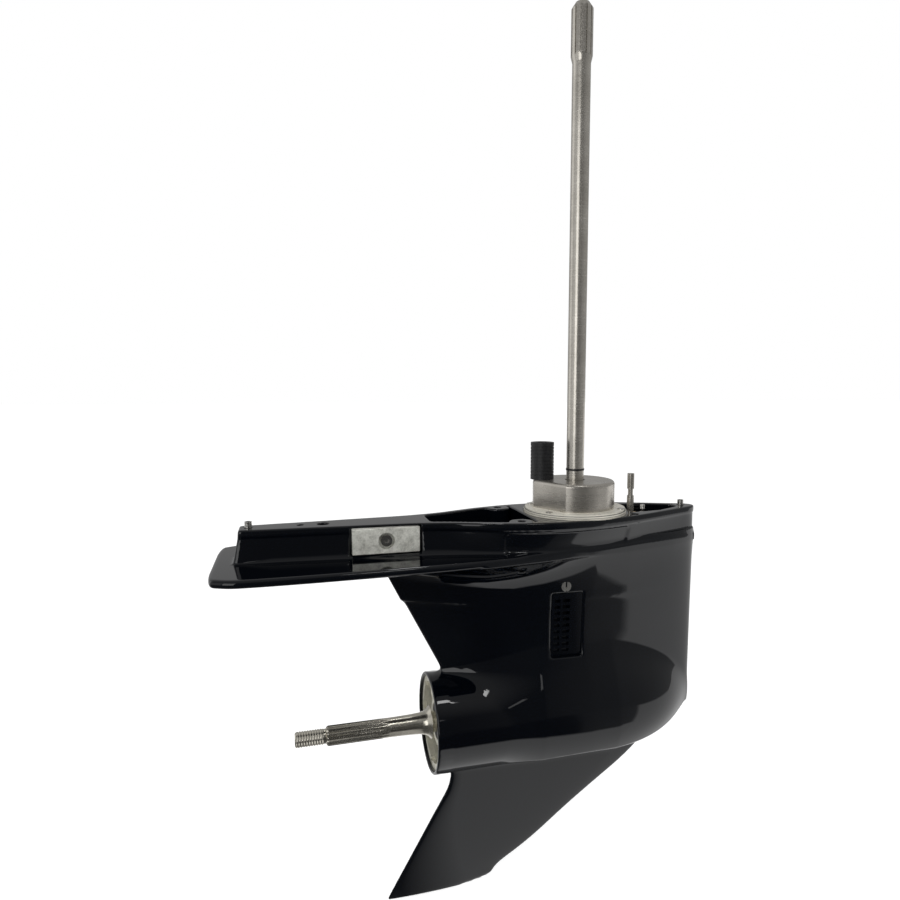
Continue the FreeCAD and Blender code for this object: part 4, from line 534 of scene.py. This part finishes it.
class Graph:
    """Short calls for adding nodes to a tree."""

    def __init__(self, tree):
        self.tree = tree

    def add(self, kind, **settings):
        node = self.tree.nodes.new(kind)
        for key, value in settings.items():
            setattr(node, key, value)
        return node

    def link(self, source, target):
        self.tree.links.new(source, target)

    def math(self, operation, *values):
        node = self.add("ShaderNodeMath", operation=operation)
        for socket, value in zip(node.inputs, values):
            if isinstance(value, (int, float)):
                socket.default_value = value
            else:
                self.link(value, socket)
        return node.outputs["Value"]

    def split(self, vector):
        node = self.add("ShaderNodeSeparateXYZ")
        self.link(vector, node.inputs["Vector"])
        return node.outputs["X"], node.outputs["Y"], node.outputs["Z"]

    def noise(self, scale, detail, roughness, vector):
        node = self.add("ShaderNodeTexNoise")
        node.inputs["Scale"].default_value = scale
        node.inputs["Detail"].default_value = detail
        node.inputs["Roughness"].default_value = roughness
        self.link(vector, node.inputs["Vector"])
        return node.outputs["Fac"]

    def ramp(self, factor, stops):
        node = self.add("ShaderNodeValToRGB")
        elements = node.color_ramp.elements
        while len(elements) < len(stops):
            elements.new(0.5)
        for element, (place, color) in zip(elements, stops):
            element.position = place
            element.color = (*color, 1.0)
        self.link(factor, node.inputs["Fac"])
        return node.outputs["Color"]

    def spread(self, factor, low, high, out_low, out_high):
        node = self.add("ShaderNodeMapRange")
        for key, value in (("From Min", low), ("From Max", high), ("To Min", out_low), ("To Max", out_high)):
            node.inputs[key].default_value = value
        self.link(factor, node.inputs["Value"])
        return node.outputs["Result"]

    def blend(self, share, first, second):
        """Goes from first to second, two values, as share goes from 0 to 1."""
        node = self.add("ShaderNodeMix")
        self.link(share, node.inputs["Factor"])
        for key, value in (("A", first), ("B", second)):
            if isinstance(value, (int, float)):
                node.inputs[key].default_value = value
            else:
                self.link(value, node.inputs[key])
        return node.outputs["Result"]


class Shader(Graph):
    """A new node material with a principled shader."""

    def __init__(self, name, color, roughness, metallic=0.0, **sockets):
        self.material = bpy.data.materials.new(name)
        self.material.use_nodes = True
        super().__init__(self.material.node_tree)
        self.bsdf = self.tree.nodes["Principled BSDF"]
        self.bsdf.inputs["Base Color"].default_value = (*color, 1.0)
        self.bsdf.inputs["Roughness"].default_value = roughness
        self.bsdf.inputs["Metallic"].default_value = metallic
        for key, value in sockets.items():
            self.bsdf.inputs[key.replace("_", " ")].default_value = value
        self.position = self.add("ShaderNodeTexCoord").outputs["Object"]

    def stretch(self, scale):
        mapping = self.add("ShaderNodeMapping")
        mapping.inputs["Scale"].default_value = scale
        self.link(self.position, mapping.inputs["Vector"])
        return mapping.outputs["Vector"]

    def noise(self, scale, detail=4.0, roughness=0.6, vector=None):
        return super().noise(scale, detail, roughness, vector or self.position)

    def bump(self, height, distance, strength=1.0):
        node = self.add("ShaderNodeBump")
        node.inputs["Distance"].default_value = distance
        node.inputs["Strength"].default_value = strength
        self.link(height, node.inputs["Height"])
        return node.outputs["Normal"]

    def set(self, name, source):
        self.link(source, self.bsdf.inputs[name])


def gloss_paint():
    """Deep black gloss paint with the faint waviness of a sprayed casting."""
    m = Shader("gloss_black_paint", (0.001, 0.0015, 0.003), 0.04, Specular_IOR_Level=0.5)
    tint = m.ramp(m.noise(9.0, 2.0), [(0.3, (0.0007, 0.0012, 0.0026)), (0.7, (0.0014, 0.0022, 0.0038))])
    m.set("Base Color", tint)
    m.set("Roughness", m.spread(m.noise(60.0, 3.0), 0.3, 0.7, 0.02, 0.05))
    m.set("Normal", m.bump(m.noise(160.0, 2.0), 0.00003, 0.25))
    return m.material


def turned_steel(name, dark, light, rough, scale, metallic=0.82, mark=0.00001):
    """Machined steel with fine marks round its axis, scale giving the stretch of the marks."""
    m = Shader(name, light, rough, metallic)
    marks = m.noise(1.0, 5.0, 0.7, m.stretch(scale))
    cloud = m.noise(34.0, 5.0)
    mixed = m.math("ADD", m.math("MULTIPLY", marks, 0.35), m.math("MULTIPLY", cloud, 0.65))
    m.set("Base Color", m.ramp(mixed, [(0.3, dark), (0.62, light)]))
    m.set("Roughness", m.spread(marks, 0.3, 0.75, rough * 0.8, rough * 1.25))
    m.set("Normal", m.bump(marks, mark, 0.3))
    return m.material


def pump_finish():
    """Drawn stainless cup, with a pale ring where its flange sits on the base plate."""
    m = Shader("pump_stainless", CUP_STEEL, 0.27, 0.85)
    marks = m.noise(1.0, 5.0, 0.7, m.stretch((12.0, 12.0, 160.0)))
    mixed = m.math("ADD", m.math("MULTIPLY", marks, 0.15), m.math("MULTIPLY", m.noise(34.0, 5.0), 0.35))
    height = m.split(m.position)[2]
    share = m.math("ADD", mixed, m.spread(height, *CUP_RING, 0.5, 0.0))
    metal = [(0.15, STEEL_SHADE), (0.31, CUP_STEEL), (0.5, CUP_STEEL)]
    m.set("Base Color", m.ramp(share, metal + [(0.6, (0.76, 0.73, 0.64))]))
    m.set("Metallic", m.spread(height, *CUP_RING, 0.05, 0.85))
    m.set("Roughness", m.spread(marks, 0.3, 0.75, 0.22, 0.34))
    return m.material


def cast_zinc():
    """Cast anode metal: dull grey with mottled bright and dark patches and small pits."""
    m = Shader("cast_zinc", (0.5, 0.5, 0.47), 0.5, 0.25)
    cloud = m.noise(120.0, 7.0, 0.8)
    greys = [(0.3, (0.26, 0.26, 0.23)), (0.47, (0.53, 0.53, 0.48)), (0.66, (0.78, 0.78, 0.72))]
    m.set("Base Color", m.ramp(cloud, greys))
    m.set("Roughness", m.spread(cloud, 0.3, 0.7, 0.42, 0.62))
    m.set("Normal", m.bump(m.noise(420.0, 4.0), 0.0003, 0.5))
    return m.material


def plain_cast(name, color, rough, metallic):
    """A plain finish with slight clouding, for cast, rubber and small machined pieces."""
    m = Shader(name, color, rough, metallic)
    cloud = m.noise(50.0, 5.0)
    low = tuple(c * 0.75 for c in color)
    high = tuple(min(1.0, c * 1.18) for c in color)
    m.set("Base Color", m.ramp(cloud, [(0.3, low), (0.7, high)]))
    m.set("Roughness", m.spread(cloud, 0.3, 0.7, rough * 0.8, rough * 1.2))
    m.set("Normal", m.bump(m.noise(500.0, 3.0), 0.00012, 0.4))
    return m.material


def assign(material, node):
    obj = frame["nodes"][node]
    obj.data.materials.clear()
    obj.data.materials.append(material)


def dress_nodes():
    """Gives each solid the finish of its slot, and returns those of the two pieces with their own mesh."""
    steel = turned_steel("shaft_steel", STEEL_SHADE, (0.62, 0.59, 0.535), 0.24, (20.0, 20.0, 500.0))
    along_x = (300.0, 20.0, 20.0)
    across = turned_steel("prop_shaft_steel", (0.5, 0.47, 0.4), (0.68, 0.65, 0.57), 0.2, along_x, 0.97)
    pump = pump_finish()
    hard = plain_cast("hard_steel", (0.42, 0.41, 0.4), 0.3, 1.0)
    bright = plain_cast("bright_steel", (0.62, 0.61, 0.58), 0.25, 1.0)
    alloy = plain_cast("carrier_alloy", (0.72, 0.7, 0.6), 0.45, 0.55)
    cream = plain_cast("pump_base_cream", (0.72, 0.69, 0.6), 0.5, 0.1)
    bronze = plain_cast("bushing_bronze", (0.62, 0.46, 0.24), 0.35, 1.0)
    rubber = plain_cast("black_rubber", (0.012, 0.012, 0.013), 0.5, 0.0)
    gasket = plain_cast("gasket_sheet", (0.12, 0.12, 0.11), 0.7, 0.0)
    zinc = cast_zinc()
    finishes = {
        "shaft_steel": steel, "gear_steel": hard, "bearing_steel": bright, "dowel_steel": bright,
        "bushing_bronze": bronze, "anode_zinc": zinc, "rubber": rubber, "gasket_sheet": gasket,
        "pump_stainless": pump, "pump_base_cream": cream, "pump_plastic": rubber,
        "carrier_alloy": alloy, "bare_aluminium": bright,
    }
    paint = gloss_paint()
    for part in frame["record"]["subparts"]:
        assign(finishes.get(part["material_slot"], paint), part["node"])
    return paint, across


# Stage

# The studio as polished surfaces see it, which isn't the white that the camera sees: brightness by
# azimuth in degrees, 0 towards -Y and 90 towards +X. It is dark behind the camera, with a bright
# floor beside and in front of the bow.
WALL_RING = [
    (-180, 0.38), (-142, 0.42), (-132, 0.95), (-112, 0.9), (-98, 0.5), (-84, 0.3), (-36, 0.16), (-18, 0.07),
    (11, 0.06), (21, 0.14), (40, 0.22), (60, 0.28), (90, 0.34), (180, 0.38),
]
FLOOR_RING = [
    (-180, 0.4), (-142, 0.5), (-132, 0.9), (-112, 0.8), (-98, 0.3), (-84, 0.1), (-36, 0.05), (-18, 0.03),
    (11, 0.04), (18, 0.06), (21, 0.15), (40, 0.25), (44, 0.28), (46.5, 1.0), (85, 0.95), (105, 0.75),
    (135, 0.5), (180, 0.4),
]
DAYLIGHT = 0.5
FLOOR_LIFT = 0.62  # what the floor adds for the camera, to reach the background's white
LAMP_DISTANCE = 2.6


def ring(graph, x, y, stops):
    """The level of a ring of (azimuth, level) stops in the direction of x and y."""
    turn = graph.math("ARCTAN2", x, graph.math("MULTIPLY", y, -1.0))
    share = graph.spread(turn, -math.pi, math.pi, 0.0, 1.0)
    return graph.ramp(share, [((az + 180.0) / 360.0, (level, level, level)) for az, level in stops])


def make_stage():
    """A wide white floor that fades into the white background and keeps the object's shadow."""
    bpy.ops.mesh.primitive_plane_add(size=60.0, location=(0.0, 0.0, cad_low.z - 0.002))
    floor = bpy.context.object
    floor.name = "floor"
    m = Shader("floor_white", (0.9, 0.9, 0.9), 0.9, Specular_IOR_Level=0.1)
    m.set("Base Color", m.ramp(m.noise(3.0), [(0.4, (0.89, 0.89, 0.89)), (0.6, (0.91, 0.91, 0.91))]))
    path = m.add("ShaderNodeLightPath")
    lift = m.add("ShaderNodeEmission")
    m.link(m.math("MULTIPLY", path.outputs["Is Camera Ray"], FLOOR_LIFT), lift.inputs["Strength"])
    lit = m.add("ShaderNodeAddShader")
    m.link(m.bsdf.outputs["BSDF"], lit.inputs[0])
    m.link(lift.outputs["Emission"], lit.inputs[1])
    x, y = m.split(m.position)[:2]
    # Polished surfaces see a bright floor under the object, forward of its middle and behind its near side.
    near = m.math("MULTIPLY", m.spread(x, -0.24, -0.14, 0.0, 0.95), m.spread(y, -0.35, -0.31, 0.0, 1.0))
    away = m.math("SQRT", m.math("ADD", m.math("MULTIPLY", x, x), m.math("MULTIPLY", y, y)))
    around = m.blend(m.spread(away, 1.8, 2.5, 0.0, 1.0), ring(m, x, y, FLOOR_RING), ring(m, x, y, WALL_RING))
    seen = m.add("ShaderNodeEmission")
    m.link(m.math("MAXIMUM", near, around), seen.inputs["Strength"])
    mix = m.add("ShaderNodeMixShader")
    m.link(path.outputs["Is Glossy Ray"], mix.inputs["Fac"])
    m.link(lit.outputs["Shader"], mix.inputs[1])
    m.link(seen.outputs["Emission"], mix.inputs[2])
    m.link(mix.outputs["Shader"], m.tree.nodes["Material Output"].inputs["Surface"])
    floor.data.materials.append(m.material)


def make_world():
    """White for the camera, even daylight for dull surfaces and the studio's bands for polished ones."""
    world = bpy.data.worlds.new("studio")
    bpy.context.scene.world = world
    world.use_nodes = True
    g = Graph(world.node_tree)
    back = g.tree.nodes["Background"]
    back.inputs["Color"].default_value = (1.0, 1.0, 1.0, 1.0)
    path = g.add("ShaderNodeLightPath")
    x, y, z = g.split(g.add("ShaderNodeTexCoord").outputs["Generated"])
    seen = g.blend(g.spread(z, 0.45, 0.8, 0.0, 0.9), ring(g, x, y, WALL_RING), 0.3)
    level = g.blend(path.outputs["Is Glossy Ray"], DAYLIGHT, seen)
    g.link(g.blend(path.outputs["Is Camera Ray"], level, 1.0), back.inputs["Strength"])


def area_light(name, azimuth, rise, size, level, mirrored=True):
    """A rectangular lamp of an even brightness, aimed at the object from an azimuth and elevation."""
    light = bpy.data.lights.new(name, "AREA")
    light.shape = "RECTANGLE"
    light.size, light.size_y = size
    light.energy = level * math.pi * size[0] * size[1]
    obj = bpy.data.objects.new(name, light)
    bpy.context.scene.collection.objects.link(obj)
    az, el = math.radians(azimuth), math.radians(rise)
    away = Vector((math.sin(az) * math.cos(el), -math.cos(az) * math.cos(el), math.sin(el)))
    obj.location = away * LAMP_DISTANCE + Vector((-0.05, 0.0, -0.05))
    obj.rotation_euler = (-away).to_track_quat("-Z", "Y").to_euler()
    obj.visible_glossy = mirrored


def make_lights():
    """The studio's lamps, by azimuth, elevation, size in metres and brightness."""
    area_light("window", -41.0, 13.0, (1.25, 1.7), 1.7)
    area_light("window_side", -72.0, 13.0, (1.4, 1.7), 0.35)
    area_light("strip", 5.5, 23.0, (0.3, 0.1), 1.0)
    area_light("ceiling", 12.5, 60.0, (0.34, 0.24), 8.0)
    area_light("ceiling_small", 3.0, 58.0, (0.12, 0.16), 6.0)
    area_light("overhead", 167.0, 60.0, (0.2, 0.3), 12.0)
    area_light("fill", -20.0, 38.0, (1.6, 1.0), 3.0, mirrored=False)


def make_camera():
    """The photograph's camera, fitted to the object's outline."""
    focal_px, frame_px = 664.58, 900.0
    centre_px = (477.93, 463.24)
    camera = bpy.data.cameras.new("camera")
    camera.sensor_width = 36.0
    camera.lens = 36.0 * focal_px / frame_px
    camera.shift_x = (frame_px / 2 - centre_px[0]) / frame_px
    camera.shift_y = (centre_px[1] - frame_px / 2) / frame_px
    obj = bpy.data.objects.new("camera", camera)
    bpy.context.scene.collection.objects.link(obj)
    obj.location = (-0.34573, -0.77214, 0.15357)
    yaw, pitch = math.radians(15.75), math.radians(6.34)
    forward = Vector((math.sin(yaw) * math.cos(pitch), math.cos(yaw) * math.cos(pitch), -math.sin(pitch)))
    obj.rotation_euler = forward.to_track_quat("-Z", "Y").to_euler()
    bpy.context.scene.camera = obj


bpy.context.scene.view_settings.view_transform = "Standard"
paint, shaft_finish = dress_nodes()
make_housing().data.materials.append(paint)
make_propeller_shaft().data.materials.append(shaft_finish)
make_stage()
make_world()
make_lights()
make_camera()
